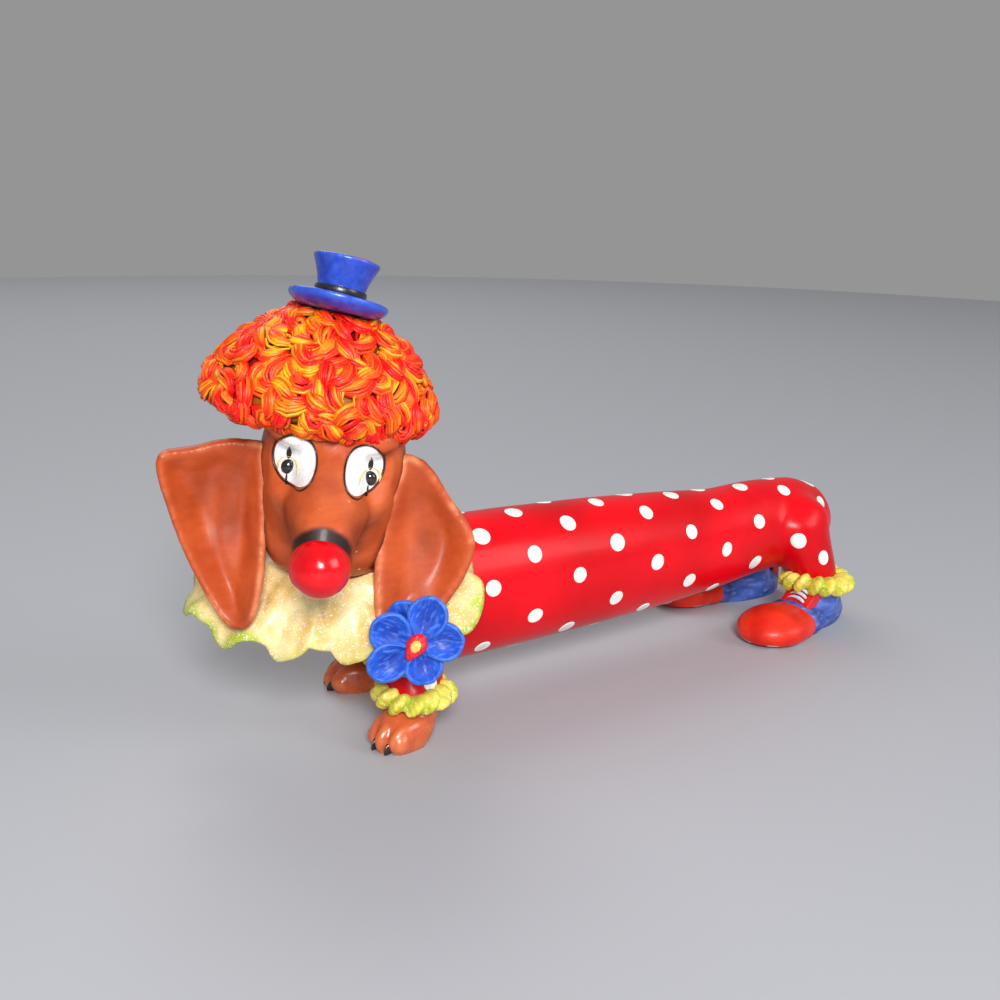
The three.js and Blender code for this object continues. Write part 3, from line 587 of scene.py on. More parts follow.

# ears: cupped flaps with a thick rolled rim, with painted shade in the cup and a rim paler in patches
earLook = {"voxel": 0.5, "cup": 2.6, "rim": 0.55, "reach": 5.5,
           "fur": (176, 68, 28), "light": (198, 86, 38), "dark": (118, 44, 18), "wearAndSheen": (232, 142, 96)}
earTrees = []
for side, node in ((1, "right_ear"), (-1, "left_ear")):
    ear = cadCopy(node)[0]
    ear = fuseClay(node + "_flap", [ear], earLook["voxel"], 8)
    points, normals = readPoints(ear), readNormals(ear)
    facing = normals @ np.array(headTurn.to_3x3())
    edge = np.abs(facing[:, 0]) < 0.42
    rimTree = KDTree(int(edge.sum()))
    for index, number in enumerate(np.nonzero(edge)[0]):
        rimTree.insert(points[number], index)
    rimTree.balance()
    inside = np.array([rimTree.find(p)[2] for p in points]) / mm
    local = inHead(points)
    down = np.clip((3 - local[:, 2]) / 38, 0, 1)
    outward = np.clip((np.abs(local[:, 1]) - 14.4) / 22, 0, 1)
    if side > 0:
        slide = -1.9 * outward - 4.4 * down ** 1.3 - 0.4
    else:
        slide = 2.9 * (1 - outward) ** 2 * soft(down, 0.05, 0.5) + 0.4
        slide = slide - 1.6 * outward * soft(-local[:, 2], 4, 12) * soft(local[:, 2], -34, -20)
    points = points + slide[:, None] * np.array(headTurn @ Vector((0, 1, 0))) * mm
    if side > 0:
        arch = np.sin(math.pi * np.clip(outward * 0.9 + 0.06, 0, 1)) ** 0.7
        sag = 2.4 * soft(local[:, 2], -12, -2) * arch
        points = points - sag[:, None] * np.array(headTurn @ Vector((0, 0, 1))) * mm
    local = inHead(points)
    rootFade = 1 - 0.75 * soft(local[:, 2], -6, 3)
    cup = earLook["cup"] * soft(inside, 0.4, earLook["reach"]) * rootFade
    fold = 0.5 * np.sin(local[:, 1] * side * 0.62 + local[:, 2] * 0.12) * soft(inside, 1.5, 5)
    rimSwell = earLook["rim"] * np.exp(-(inside / 1.3) ** 2)
    back = np.array(headTurn @ Vector((1, 0, 0)))
    moved = points + (cup + fold)[:, None] * back * mm + normals * rimSwell[:, None] * mm
    writePoints(ear, moved)
    useModifier(ear, "SMOOTH", factor=0.5, iterations=3)
    local = inHead(readPoints(ear))
    fur = blend(earLook["fur"], earLook["light"], 0.5 + 0.7 * cloud(local * mm, 9, 6 + side))
    # painted shade: darker in the cup, at the top where the ear hangs from the head and toward its tip
    dark = 0.75 * soft(inside, 2.0, 8.0) * soft(local[:, 2], -34, -6) * (facing[:, 0] < 0)
    dark = dark + 0.45 * soft(local[:, 2], -3, 4) + 0.35 * soft(-local[:, 2], 26, 36)
    fur = blend(fur, earLook["dark"], dark * (0.6 + 0.35 * cloud(local * mm, 7, 11)))
    # the rolled rim is paler in patches: partly rubbed paint, partly a painted highlight
    ridge = soft(cloud(local * mm, 5, 14), -0.1, 0.5) + 0.8 * soft(0.2 - outward, 0, 0.1)
    wearAndSheen = np.exp(-((inside - 0.2) / 0.6) ** 2) * np.clip(ridge, 0, 1) * (facing[:, 0] < 0.3)
    paintPiece(ear, blend(fur, earLook["wearAndSheen"], wearAndSheen * 0.8))
    dress(ear, headFinish, "fur_brown", node)
    earTrees.append(surfaceTree(ear))
# painted shade on the face where each ear lies against it
headPoints = readPoints(dogHead)
crease = np.zeros(len(headPoints))
for tree in earTrees:
    near = [tree.find_nearest(Vector(p), 2.4 * mm)[3] for p in headPoints]
    near = np.array([3.0 if away is None else away / mm for away in near])
    crease = np.maximum(crease, soft(2.2 - near, 0, 2.2))
headTones = blend(headTones, linear(headLook["dark"]) * 0.7, crease * 0.9)
print("ears cupped and rolled")

# nose: a glossy ball, slightly flattened where it meets the muzzle
noseLook = {"red": (232, 0, 20), "deep": (200, 0, 14)}
noseLow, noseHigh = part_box("nose_ball")
noseSize = (noseHigh.x - noseLow.x) / 2 / mm
noseRadii = (noseSize, noseSize * 1.01, noseSize * 0.99)
nose = clayBall(headFrame, headPose["nose"], noseRadii, (0, 30, 0), 64, 40)
nameIt(nose, "nose_bulb")
local = inHead(readPoints(nose)) - headPose["nose"]
drift = 0.12 * cloud(local * mm, 5, 2) - 0.7 * soft(local @ np.array((0.86, 0, 0.5)) / noseSize, 0.72, 1)
writePoints(nose, readPoints(nose) + readNormals(nose) * drift[:, None] * mm)
smoothShade(nose)
noseFinish = clayPaint("nose_red_gloss", noseLook["red"], noseLook["deep"], blotch=5, rough=(0.16, 0.26),
                       streak=0.18, grain=0.12, nicks=0.35, nickColour=(250, 190, 150), coat=0.35,
                       shine=0.35)
dress(nose, noseFinish, "nose_red", "nose_ball")


# eyes: white ovals laid on the face, dark rims, lids, glossy pupils and painted marks
def onFace(across, up, proud=0.0):
    start = headFrame @ (Vector((-40, across, up)) * mm)
    ray = headTurn.to_3x3() @ Vector((1, 0, 0))
    spot, facing = headTree.ray_cast(start, ray, 0.08)[:2]
    return spot - ray * proud * mm


def faceSpot(point):
    return headFrame.inverted() @ point / mm


def facePlate(name, outline, centre, proud, thickness, rings=6):
    # a filled outline laid on the face and given a thickness
    clearSelection()
    bpy.ops.mesh.primitive_circle_add(vertices=len(outline), radius=mm, fill_type="NOTHING")
    plate = bpy.context.object
    nameIt(plate, name)
    bpy.ops.object.mode_set(mode="EDIT")
    bpy.ops.mesh.select_all(action="SELECT")
    for ring in range(1, rings):
        share = (rings - ring) / (rings - ring + 1)
        bpy.ops.mesh.extrude_edges_move()
        bpy.ops.transform.resize(value=(share, share, share), center_override=(0, 0, 0))
    bpy.ops.mesh.edge_face_add()
    bpy.ops.mesh.poke()
    bpy.ops.object.mode_set(mode="OBJECT")
    points = readPoints(plate) / mm
    angles = np.arctan2(points[:, 1], points[:, 0])
    reach = np.hypot(points[:, 0], points[:, 1])
    place = []
    for angle, share in zip(angles, reach):
        index = int(round(angle / (2 * math.pi) * len(outline))) % len(outline)
        x, y = outline[index]
        place.append(onFace(centre[0] + x * share, centre[1] + y * share, proud))
    writePoints(plate, np.array(place))
    mergeDoubles(plate, 0.001)
    faceAlong(plate, headTurn @ Vector((-1, 0, 0)))
    useModifier(plate, "SMOOTH", factor=0.5, iterations=4)
    useModifier(plate, "SOLIDIFY", thickness=thickness * mm, offset=-1)
    smoothShade(plate, 50)
    return plate


def oval(width, height, count=40):
    angles = [2 * math.pi * index / count for index in range(count)]
    return [(width / 2 * math.cos(angle), height / 2 * math.sin(angle)) for angle in angles]


eyeLook = {"white": (253, 253, 251), "shade": (234, 234, 232), "outline": (34, 18, 12),
           "lid": (236, 214, 150), "pupil": (12, 10, 12), "rimThickness": 0.15}
whiteFinish = clayPaint("eye_white_paint", eyeLook["white"], eyeLook["shade"], blotch=2, rough=(0.2, 0.32),
                        streak=0.12, grain=0.18, coat=0.5)
blackFinish = clayPaint("pupil_black_gloss", eyeLook["pupil"], (30, 26, 28), blotch=1.5, rough=(0.1, 0.2),
                        streak=0.1, grain=0.05, coat=0.8)
lineFinish = clayPaint("outline_paint", eyeLook["outline"], (12, 8, 8), blotch=1.5, rough=(0.3, 0.45),
                       streak=0.1, grain=0.1)
lidFinish = clayPaint("lid_cream_paint", eyeLook["lid"], (214, 178, 92), blotch=1, rough=(0.3, 0.4),
                      streak=0.2, grain=0.1)
# size of each white, then how far the white and the gaze are shifted across and up
eyeSides = (("right", (8.7, 10.2), (-0.35, 0.75), (-0.5, -0.75)),
            ("left", (7.5, 9.9), (1.25, -0.1), (1.2, -1.1)))
for name, (width, height), shift, gaze in eyeSides:
    patch, pupil = faceSpot(middle(name + "_eye_patch")), faceSpot(middle(name + "_pupil"))
    centre = (patch.y + shift[0], patch.z + shift[1])
    white = facePlate(name + "_eye_white", oval(width, height), centre, 0.55, 1.1)
    points = readPoints(white)
    local = inHead(points)
    bulge = 0.5 * np.clip(1 - ((local[:, 1] - centre[0]) / (width / 2)) ** 2
                          - ((local[:, 2] - centre[1]) / (height / 2)) ** 2, 0, 1)
    writePoints(white, points + bulge[:, None] * mm * np.array(headTurn @ Vector((-1, 0, 0))))
    dress(white, whiteFinish, "eye_white", name + "_eye_patch")
    rimPoints = [faceSpot(onFace(centre[0] + x, centre[1] + y, 0.42))
                 for x, y in oval(width + 0.35, height + 0.35, 48)]
    bpy.ops.mesh.primitive_torus_add(major_segments=48, minor_segments=8, major_radius=5 * mm,
                                     minor_radius=eyeLook["rimThickness"] * mm)
    rim = bpy.context.object
    nameIt(rim, name + "_eye_rim")
    points = readPoints(rim) / mm
    turns = np.arctan2(points[:, 1], points[:, 0])
    placed = []
    for (x, y, z), turn in zip(points, turns):
        base = rimPoints[int(round(turn / (2 * math.pi) * 48)) % 48]
        out = Vector((0, base.y - centre[0], base.z - centre[1])).normalized()
        placed.append(headFrame @ ((base + out * (math.hypot(x, y) - 5) * 1.25 + Vector((-z, 0, 0))) * mm))
    writePoints(rim, np.array(placed))
    mergeDoubles(rim, 0.0001)
    smoothShade(rim)
    dress(rim, lineFinish, "pupil_black")
    look = (pupil.y + gaze[0], pupil.z + gaze[1])
    ball = clayBall(headFrame, (patch.x - 1.0, look[0], look[1]), (1.1, 1.45, 1.55), (0, 0, 0), 28, 18)
    face = faceSpot(onFace(look[0], look[1], 1.0))
    points = readPoints(ball) + np.array(headTurn @ Vector((face.x - patch.x + 1.0, 0, 0))) * mm
    writePoints(ball, points)
    smoothShade(nameIt(ball, name + "_pupil_bead"))
    dress(ball, blackFinish, "pupil_black", name + "_pupil")
    lidPath = []
    for turn in range(-20, 201, 20):
        y, z = look[0] + 2.1 * math.cos(math.radians(turn)), look[1] + 1.95 * math.sin(math.radians(turn))
        lidPath.append(faceSpot(onFace(y, z, 0.95)))
    lid = clayRope(headFrame, lidPath, [0.12] + [0.27] * (len(lidPath) - 2) + [0.12], 8)
    smoothShade(nameIt(lid, name + "_lid"))
    dress(lid, lidFinish, "bead_cream")
    spike = []
    for x, y in oval(2, 2, 24):
        spike.append((0.62 * x * (1 - 0.75 * max(y, 0)), 1.5 * y + 0.3 * max(y, 0)))
    upper = facePlate(name + "_eye_spike", spike, (look[0] + 0.1, look[1] + 2.9), 1.12, 0.5, 3)
    stroke = oval(0.34, 2.2, 16)
    lower = facePlate(name + "_eye_line", stroke, (look[0] + 0.15, look[1] - 2.1), 1.12, 0.5, 3)
    marks = joinPieces(name + "_eye_marks", [upper, lower])
    dress(marks, lineFinish, "pupil_black")
print("eyes, lids and nose done")


# wig: swirled locks of thin strands over a dome, each lock from red through orange to yellow
wigLook = {"depth": 20.2, "width": 22.8, "height": 18.2, "drop": 4.9, "centre": (1.5, 4.0, 12.0),
           "spread": 2.75, "strands": 8, "pitch": 0.44, "thick": 0.44, "length": 8.6, "lift": 1.9, "seed": 11,
           "red": (244, 14, 16), "orange": (242, 82, 12), "yellow": (252, 186, 28), "deep": (168, 26, 8),
           "darkBrown": (84, 20, 8)}
hatLook = {"place": (-1.5, 2.5, 30.1), "lean": 12, "tip": 6, "base": 4.9, "top": 6.7, "tall": 9.4,
           "brim": 10.2, "curl": 2.1, "plate": 1.3, "gap": 0.35, "band": 1.7, "bandRise": 1.5,
           "blue": (22, 62, 182), "light": (50, 92, 208), "dark": (14, 40, 146), "wearAndSheen": (150, 60, 80),
           "black": (18, 16, 22)}
hatFrame = headFrame @ Matrix.Translation(Vector(hatLook["place"]) * mm) @ \
    turnAbout("X", hatLook["tip"]) @ turnAbout("Y", hatLook["lean"])
wigFrame = headFrame @ Matrix.Translation(Vector(wigLook["centre"]) * mm)
dome = clayBall(wigFrame, (0, 0, 0), (1, 1, 1), segments=64, rings=48)
points = inFrame(readPoints(dome), wigFrame)
level = points[:, 2]
upward = np.clip(level, 0, 1)
waist = np.where(level > 0, (1 - upward ** 1.55) ** 0.61, np.sqrt(np.clip(1 - np.abs(level) ** 2.6, 0, 1)))
turn = np.arctan2(points[:, 1], points[:, 0])
bare = np.hypot(points[:, 0], points[:, 1]) < 1e-4
waist[bare] = 0
shaped = np.stack([np.cos(turn) * waist * wigLook["depth"], np.sin(turn) * waist * wigLook["width"],
                   np.where(level > 0, level * wigLook["height"],
                            level * wigLook["drop"] * (1 - 0.28 * points[:, 1]))], 1)
writePoints(dome, outFrame(shaped, wigFrame))
domeTree = surfaceTree(dome)
chance = random.Random(wigLook["seed"])
curlPlaces = []
for _ in range(9000):
    direction = Vector([chance.gauss(0, 1) for _ in range(3)]).normalized()
    spot, facing = domeTree.find_nearest(wigFrame @ (direction * 23 * mm + Vector((0, 0, 3 * mm))))[:2]
    wigSpot = wigFrame.inverted() @ spot / mm
    if wigSpot.z < -wigLook["drop"] * (0.86 - 0.28 * wigSpot.y / wigLook["width"]):
        continue
    if all((spot - other).length > wigLook["spread"] * mm for other, _ in curlPlaces):
        curlPlaces.append((spot, facing))
locks = bpy.data.curves.new("locks", "CURVE")
locks.dimensions = "3D"
locks.bevel_depth = mm
locks.bevel_resolution = 1
locks.use_fill_caps = True
lockSamples = []
for spot, facing in curlPlaces:
    across = facing.cross(headTurn @ Vector((0, 0, 1))).normalized()
    over = facing.cross(across).normalized()
    fall = over if (over.z < 0) else -over
    heading = math.atan2(fall.dot(over), fall.dot(across)) + chance.uniform(-1.5, 1.5)
    firstBend, secondBend = chance.choice((-1, 1)) * chance.uniform(0.15, 0.5), chance.uniform(-0.7, 0.7)
    lockLift = wigLook["lift"] * chance.uniform(0.55, 1.35)
    length = wigLook["length"] * chance.uniform(0.8, 1.2)
    warm = chance.random()
    steps = 7
    gradient = chance.choice((-1, 1, 1)) * chance.uniform(0.4, 1.5)
    pathPoints = []
    flat = Vector((0, 0))
    for index in range(steps):
        share = index / (steps - 1)
        pathPoints.append((flat.copy(), heading, share))
        heading += (firstBend * (1 - share) + secondBend * share) * length / steps * 1.5
        flat = flat + Vector((math.cos(heading), math.sin(heading))) * length / steps
    middlePoint = pathPoints[steps // 2][0]
    handed = chance.choice((-1, 1))
    for strand in range(wigLook["strands"]):
        sideways = (strand - (wigLook["strands"] - 1) / 2)
        hue = 0.45 + warm * 0.45 + handed * sideways * 0.16 + chance.uniform(-0.75, 0.75)
        shift, thickness = chance.uniform(-0.12, 0.12), wigLook["thick"] * chance.uniform(0.75, 1.3)
        sway, swayTurn = chance.uniform(0.05, 0.3), chance.uniform(0, 6)
        lock = locks.splines.new("POLY")
        lock.points.add(steps - 1)
        for index, (flat, heading, share) in enumerate(pathPoints):
            spreadOut = wigLook["pitch"] * (0.25 + 0.9 * math.sin(math.pi * min(0.12 + 0.86 * share, 1)))
            beside = Vector((-math.sin(heading), math.cos(heading)))
            here = flat - middlePoint + beside * sideways * spreadOut * (1 + shift) + \
                beside * sway * math.sin(swayTurn + 5 * share)
            target = spot + (across * here.x + over * here.y) * mm
            under, normal = domeTree.find_nearest(target)[:2]
            crown = 1 - (sideways / wigLook["strands"] * 1.5) ** 2
            arch = math.sin(math.pi * (0.1 + 0.84 * share))
            lift = lockLift * (0.1 + 0.9 * arch) * crown
            place = under + normal * lift * mm
            lock.points[index].co = (*place, 1)
            lock.points[index].radius = thickness * (0.12 + 0.88 * arch)
            lockSamples.append((place, hue + gradient * (share - 0.5), share, normal))
lockPiece = bpy.data.objects.new("locks", locks)
bpy.context.scene.collection.objects.link(lockPiece)
pick(lockPiece)
bpy.ops.object.convert(target="MESH")
lockPiece = bpy.context.object
useModifier(lockPiece, "TRIANGULATE")
wig = joinPieces("curly_wig", [dome, lockPiece])
smoothShade(wig)
# the locks under the hat are pressed down by its brim
underHat = inFrame(readPoints(wig), hatFrame)
fromCrown = np.hypot(underHat[:, 0], underHat[:, 1]) / hatLook["brim"]
pressed = np.minimum(underHat[:, 2], hatLook["curl"] * fromCrown ** 4 - 0.15)
underHat[:, 2] = np.where(fromCrown < 1.03, pressed, underHat[:, 2])
writePoints(wig, outFrame(underHat, hatFrame))
points, normals = readPoints(wig), readNormals(wig)
lockTree = KDTree(len(lockSamples))
for index, sample in enumerate(lockSamples):
    lockTree.insert(sample[0], index)
lockTree.balance()
shades = np.array([linear(wigLook[name]) for name in ("red", "orange", "yellow")])
hues, facings, aways = np.zeros(len(points)), np.zeros(len(points)), np.zeros(len(points))
for index, point in enumerate(points):
    _, found, distance = lockTree.find(point)
    _, hue, share, normal = lockSamples[found]
    # each lock goes paler toward its middle, where it arches highest: partly dry-brushed paint, partly a
    # painted highlight
    hues[index] = hue + 0.5 * math.sin(math.pi * share)
    facings[index] = normals[index] @ np.array(normal)
    aways[index] = domeTree.find_nearest(Vector(point))[3] / mm
broad = cloud(points, 9, 23)
local = inFrame(points, wigFrame)
front = soft(-local[:, 0], 2, 14)
hues = hues + 0.8 * broad - 0.2 * front - 0.1
colours = blend(blend(shades[0], shades[1], soft(hues, 0.2, 0.85)), shades[2], soft(hues, 1.1, 2.1))
# strand tops that face outward go yellow: partly the dry-brushed yellow of the ridges, partly a painted
# highlight
colours = blend(colours, shades[2], soft(facings, 0.9, 1.0) * soft(hues, 0.7, 1.4) * 0.5)
# painted shade: the sides and undersides of the strands go deep red
colours = blend(colours, wigLook["deep"], (1 - soft(facings, 0.0, 0.8)) * 0.7)
# painted shade in the grooves down at the dome, stronger toward the top, over the dark brown wash the
# figurine has in its recesses
upper = soft(local[:, 2], 6, 16)
colours = blend(colours, wigLook["darkBrown"], (1 - soft(aways, 0.1, 0.6)) * (0.7 + 0.2 * upper))
paintPiece(wig, colours)
wigFinish = clayPaint("curl_paint", wigLook["red"], wigLook["orange"], blotch=2.5, rough=(0.34, 0.5),
                      streak=0.25, grain=0.2, coat=0.08, shine=0.3, painted=True)
dress(wig, wigFinish, "wig_curls", "wig")
print("wig locks:", len(lockSamples), "points,", len(wig.data.polygons), "faces")


def turnedShape(name, place, profile, sides=64):
    # a closed turned solid: one disc extruded up its own axis and resized at every step of its profile
    clearSelection()
    axis = place.to_3x3() @ Vector((0, 0, 1))
    bpy.ops.mesh.primitive_circle_add(vertices=sides, radius=profile[0][0] * mm, fill_type="NGON",
                                      location=place @ Vector((0, 0, profile[0][1] * mm)),
                                      rotation=place.to_euler())
    piece = applyPlace(bpy.context.object)
    nameIt(piece, name)
    bpy.ops.object.mode_set(mode="EDIT")
    bpy.ops.mesh.select_all(action="SELECT")
    for (wasRadius, wasUp), (radius, up) in zip(profile, profile[1:]):
        bpy.ops.mesh.extrude_region_move(TRANSFORM_OT_translate={"value": axis * (up - wasUp) * mm})
        share = radius / wasRadius
        centre = place @ Vector((0, 0, up * mm))
        bpy.ops.transform.resize(value=(share, share, share), center_override=centre)
    bpy.ops.object.mode_set(mode="OBJECT")
    return mergeDoubles(piece, 0.002)


# hat: a small topper with a bowl brim, a sunk top and a black band
brimTop = hatLook["plate"] + hatLook["gap"]
rim, curl, plate = hatLook["brim"], hatLook["curl"], hatLook["plate"]
brimProfile = [(0.4, 0.0), (5.0, 0.0), (rim * 0.7, curl * 0.06), (rim * 0.86, curl * 0.32),
               (rim * 0.965, curl * 0.74), (rim, curl),
               (rim * 1.005, curl + plate * 0.45), (rim * 0.975, curl + plate * 0.85),
               (rim * 0.93, curl + plate * 0.72), (rim * 0.84, curl * 0.52 + plate * 0.95),
               (rim * 0.7, curl * 0.2 + plate), (6.0, plate * 1.02), (0.4, plate)]
hatBrim = turnedShape("topper_brim", hatFrame, brimProfile, 72)
bandTop = brimTop + hatLook["bandRise"] + hatLook["band"]
base, top, crownTop = hatLook["base"], hatLook["top"], brimTop + hatLook["tall"]
crown = [(0.4, brimTop - 0.3), (4.7, brimTop - 0.3), (4.85, brimTop), (4.9, bandTop),
         (base + 0.05, bandTop + 0.25)]
for step in range(1, 7):
    share = step / 7
    crown.append((base + (top - base) * share ** 1.15, bandTop + 0.3 + (crownTop - 0.9 - bandTop) * share))
crown += [(top + 0.12, crownTop - 0.7), (top + 0.02, crownTop - 0.15), (top - 0.35, crownTop),
          (top - 0.8, crownTop - 0.25), (top - 1.5, crownTop - 0.5), (3, crownTop - 0.42),
          (0.4, crownTop - 0.4)]
hatCrown = turnedShape("topper_crown", hatFrame, crown, 72)
bandLow = brimTop + hatLook["bandRise"] - 0.1
bandHigh = bandLow + hatLook["band"]
bandProfile = [(4.2, bandLow), (5.1, bandLow), (5.32, bandLow + 0.25), (5.34, bandHigh - 0.2),
               (5.2, bandHigh + 0.1), (4.2, bandHigh + 0.1)]
hatBand = turnedShape("topper_band", hatFrame, bandProfile, 72)
hatFinish = clayPaint("topper_blue_satin", hatLook["blue"], hatLook["dark"], blotch=1.1, rough=(0.24, 0.4),
                      streak=0.3, grain=0.55, coat=0.35, painted=True)
for piece, node in ((hatBrim, "hat_brim"), (hatCrown, "hat_crown")):
    useModifier(piece, "SUBSURF", levels=1, render_levels=1)
    points, normals = readPoints(piece), readNormals(piece)
    local = inFrame(points, hatFrame)
    dent = 0.16 * cloud(local * mm, 5, 31)
    writePoints(piece, points + normals * dent[:, None] * mm)
    reach = np.hypot(local[:, 0], local[:, 1])
    tone = blend(hatLook["blue"], hatLook["light"], 0.15 + cloud(local * mm, 2.2, 33))
    tone = blend(tone, hatLook["dark"], soft(cloud(local * mm, 5, 35), 0, 0.6) * 0.7)
    if node == "hat_crown":
        atRim = np.exp(-((reach - top) / 0.4) ** 2) * soft(local[:, 2], brimTop + 8.4, brimTop + 9.2)
        wearAndSheen = soft(cloud(local * mm, 2.4, 37), 0.28, 0.5) * soft(local[:, 2], brimTop + 8.7, brimTop + 9.0)
        tone = blend(tone, hatLook["wearAndSheen"], wearAndSheen * 0.7)
    else:
        atRim = np.exp(-((reach - rim) / 0.35) ** 2)
    # painted highlight: paler along the brim's edge and round the crown's top edge
    paintPiece(piece, blend(tone, hatLook["light"], atRim * 0.6))
    smoothShade(piece, 45)
    dress(piece, hatFinish, "hat_blue", node)
smoothShade(hatBand, 45)
bandFinish = clayPaint("band_black_satin", hatLook["black"], (40, 36, 44), blotch=1.2, rough=(0.25, 0.4),
                       streak=0.3, grain=0.3)
dress(hatBand, bandFinish, "hat_band_black", "hat_band")
print("hat turned")


# ruff: two waved layers round the neck, glitter over pale yellow, lime paint along the hem
ruffLook = {"turn": 60, "lean": 18, "neck": 11.0, "side": 33.4, "front": 21.2, "back": 24, "drop": 9.6,
            "lobes": 11, "wave": 1.6, "raise": 7.5, "thick": 1.5, "offset": (3, 4.5, -23.5),
            "overBack": 6.5, "overBody": 8, "pale": (242, 222, 156), "warm": (232, 190, 104),
            "lime": (172, 196, 34), "groove": (206, 154, 48)}
ruffFrame = Matrix.Translation(skullPlace + Vector(ruffLook["offset"]) * mm) @ \
    turnAbout("Z", ruffLook["turn"]) @ turnAbout("Y", -ruffLook["lean"])


def ruffSheet(name, grow, rise, phase, lobes, around=300, outwards=26):
    bpy.ops.mesh.primitive_grid_add(x_subdivisions=around, y_subdivisions=outwards, size=2)
    sheet = bpy.context.object
    nameIt(sheet, name)
    points = readPoints(sheet)
    turn = (points[:, 0] + 1) * math.pi
    out = (points[:, 1] + 1) / 2
    turn = np.where(points[:, 0] > 0.99999, 0, turn)
    x, y = np.cos(turn), np.sin(turn)
    ends = np.where(x < 0, ruffLook["front"], ruffLook["back"])
    full = 1 / np.sqrt((x / ends) ** 2 + (y / ruffLook["side"]) ** 2) * grow
    folds = np.sin(lobes * turn + phase + 0.7 * np.sin(3 * turn))
    scallop = 0.9 * np.abs(np.cos((lobes * turn + phase) / 2 + 0.35 * np.sin(3 * turn))) ** 0.6 - 0.6
    reach = ruffLook["neck"] + (full - ruffLook["neck"]) * out + scallop * 2.2 * out ** 4
    fine = 0.35 * np.sin(2.6 * lobes * turn + 2 * phase) * out ** 1.5
    height = rise - ruffLook["drop"] * out ** 1.5 + ruffLook["wave"] * folds * out ** 1.2 + fine
    height -= 1.4 * soft(out, 0.86, 1.0) * (0.5 - 0.5 * folds)
    behind = soft(-y * out, 0.2, 0.95) * soft(x, -0.35, 0.35)
    overBack = soft(x, 0.1, 0.9)
    overBody = soft(0.77 * x - 0.64 * y, 0.66, 0.95)
    height += ruffLook["raise"] * behind
    height += (ruffLook["overBack"] * overBack + ruffLook["overBody"] * overBody) * out
    reach *= 1 - 0.14 * overBack * out
    reach *= 1 - 0.1 * behind
    shaped = np.stack([x * reach, y * reach, height], 1)
    writePoints(sheet, outFrame(shaped, ruffFrame))
    mergeDoubles(sheet, 0.005)
    faceAlong(sheet, ruffFrame.to_3x3() @ Vector((0, 0, 1)))
    useModifier(sheet, "SOLIDIFY", thickness=ruffLook["thick"] * mm, offset=-1)
    useModifier(sheet, "SMOOTH", factor=0.5, iterations=3)
    smoothShade(sheet)
    local = inFrame(readPoints(sheet), ruffFrame)
    x, y = local[:, 0], local[:, 1]
    flat = np.hypot(x, y)
    ends = np.where(x < 0, ruffLook["front"], ruffLook["back"])
    full = flat / np.maximum(np.sqrt((x / ends) ** 2 + (y / ruffLook["side"]) ** 2), 1e-6) * grow
    share = (flat - ruffLook["neck"]) / (full - ruffLook["neck"])
    tone = blend(ruffLook["pale"], ruffLook["warm"], 0.45 + 1.2 * cloud(local * mm, 5, 41))
    # painted shade: a darker gold in the folds
    tone = blend(tone, ruffLook["groove"], soft(hollows(sheet, 24), 0.06, 0.5) * 0.7)
    hem = soft(share + 0.12 * cloud(local * mm, 4, 43), 0.86, 1.0) * (0.35 + 0.65 * soft(np.abs(y), 6, 20))
    paintPiece(sheet, blend(tone, ruffLook["lime"], np.clip(hem, 0, 1) * 0.9))
    return sheet


def addGlitter(finish, amount, size):
    # tiny flat flakes tilted every way, some with a cool or a pink glint
    nodes, links = finish.node_tree.nodes, finish.node_tree.links
    shader = nodes["Principled BSDF"]
    spot = nodes.new("ShaderNodeTexCoord")
    flakes = nodes.new("ShaderNodeTexVoronoi")
    flakes.inputs["Scale"].default_value = 1 / (size * mm)
    links.new(spot.outputs["Object"], flakes.inputs["Vector"])
    parts = nodes.new("ShaderNodeSeparateColor")
    links.new(flakes.outputs["Color"], parts.inputs["Color"])
    chosen = nodes.new("ShaderNodeMapRange")
    chosen.inputs["From Min"].default_value = 1 - amount
    chosen.inputs["From Max"].default_value = 1 - amount + 0.08
    links.new(parts.outputs["Red"], chosen.inputs["Value"])
    glint = nodes.new("ShaderNodeMix")
    glint.data_type = "RGBA"
    links.new(parts.outputs["Green"], glint.inputs[0])
    glint.inputs[6].default_value = (0.92, 0.66, 0.52, 1)
    glint.inputs[7].default_value = (0.98, 0.92, 0.7, 1)
    cover = nodes.new("ShaderNodeMix")
    cover.data_type = "RGBA"
    links.new(chosen.outputs["Result"], cover.inputs[0])
    before = shader.inputs["Base Color"].links[0].from_socket
    links.new(before, cover.inputs[6])
    links.new(glint.outputs[2], cover.inputs[7])
    links.new(cover.outputs[2], shader.inputs["Base Color"])
    bump = nodes.new("ShaderNodeBump")
    bump.inputs["Strength"].default_value = 0.7
    bump.inputs["Distance"].default_value = 0.1 * mm
    links.new(parts.outputs["Blue"], bump.inputs["Height"])
    links.new(shader.inputs["Normal"].links[0].from_socket, bump.inputs["Normal"])
    links.new(bump.outputs["Normal"], shader.inputs["Normal"])


ruffFinish = clayPaint("ruff_glitter", ruffLook["pale"], ruffLook["warm"], blotch=3, rough=(0.3, 0.5),
                       streak=0.15, grain=0.3, coat=0.15, painted=True)
addGlitter(ruffFinish, 0.15, 0.28)
lowerRuff = ruffSheet("ruff_lower_layer", 1.0, 0, 0.4, ruffLook["lobes"])
upperRuff = ruffSheet("ruff_upper_layer", 0.84, 2.3, 2.1, ruffLook["lobes"] - 1)
dress(lowerRuff, ruffFinish, "ruff_yellow", "ruff")
dress(upperRuff, ruffFinish, "ruff_yellow")
# the suit's red collar covers the neck below the ruff, higher toward the body
neck = inFrame(readPoints(dogHead), ruffFrame)
towardBody = (0.5 * neck[:, 0] - 0.87 * neck[:, 1]) / np.hypot(neck[:, 0], neck[:, 1])
collar = soft(8 * soft(towardBody, 0, 0.9) - 1 - neck[:, 2], 0, 0.4)
paintPiece(dogHead, blend(headTones, suitLook["shade"], collar))
print("ruff waved")


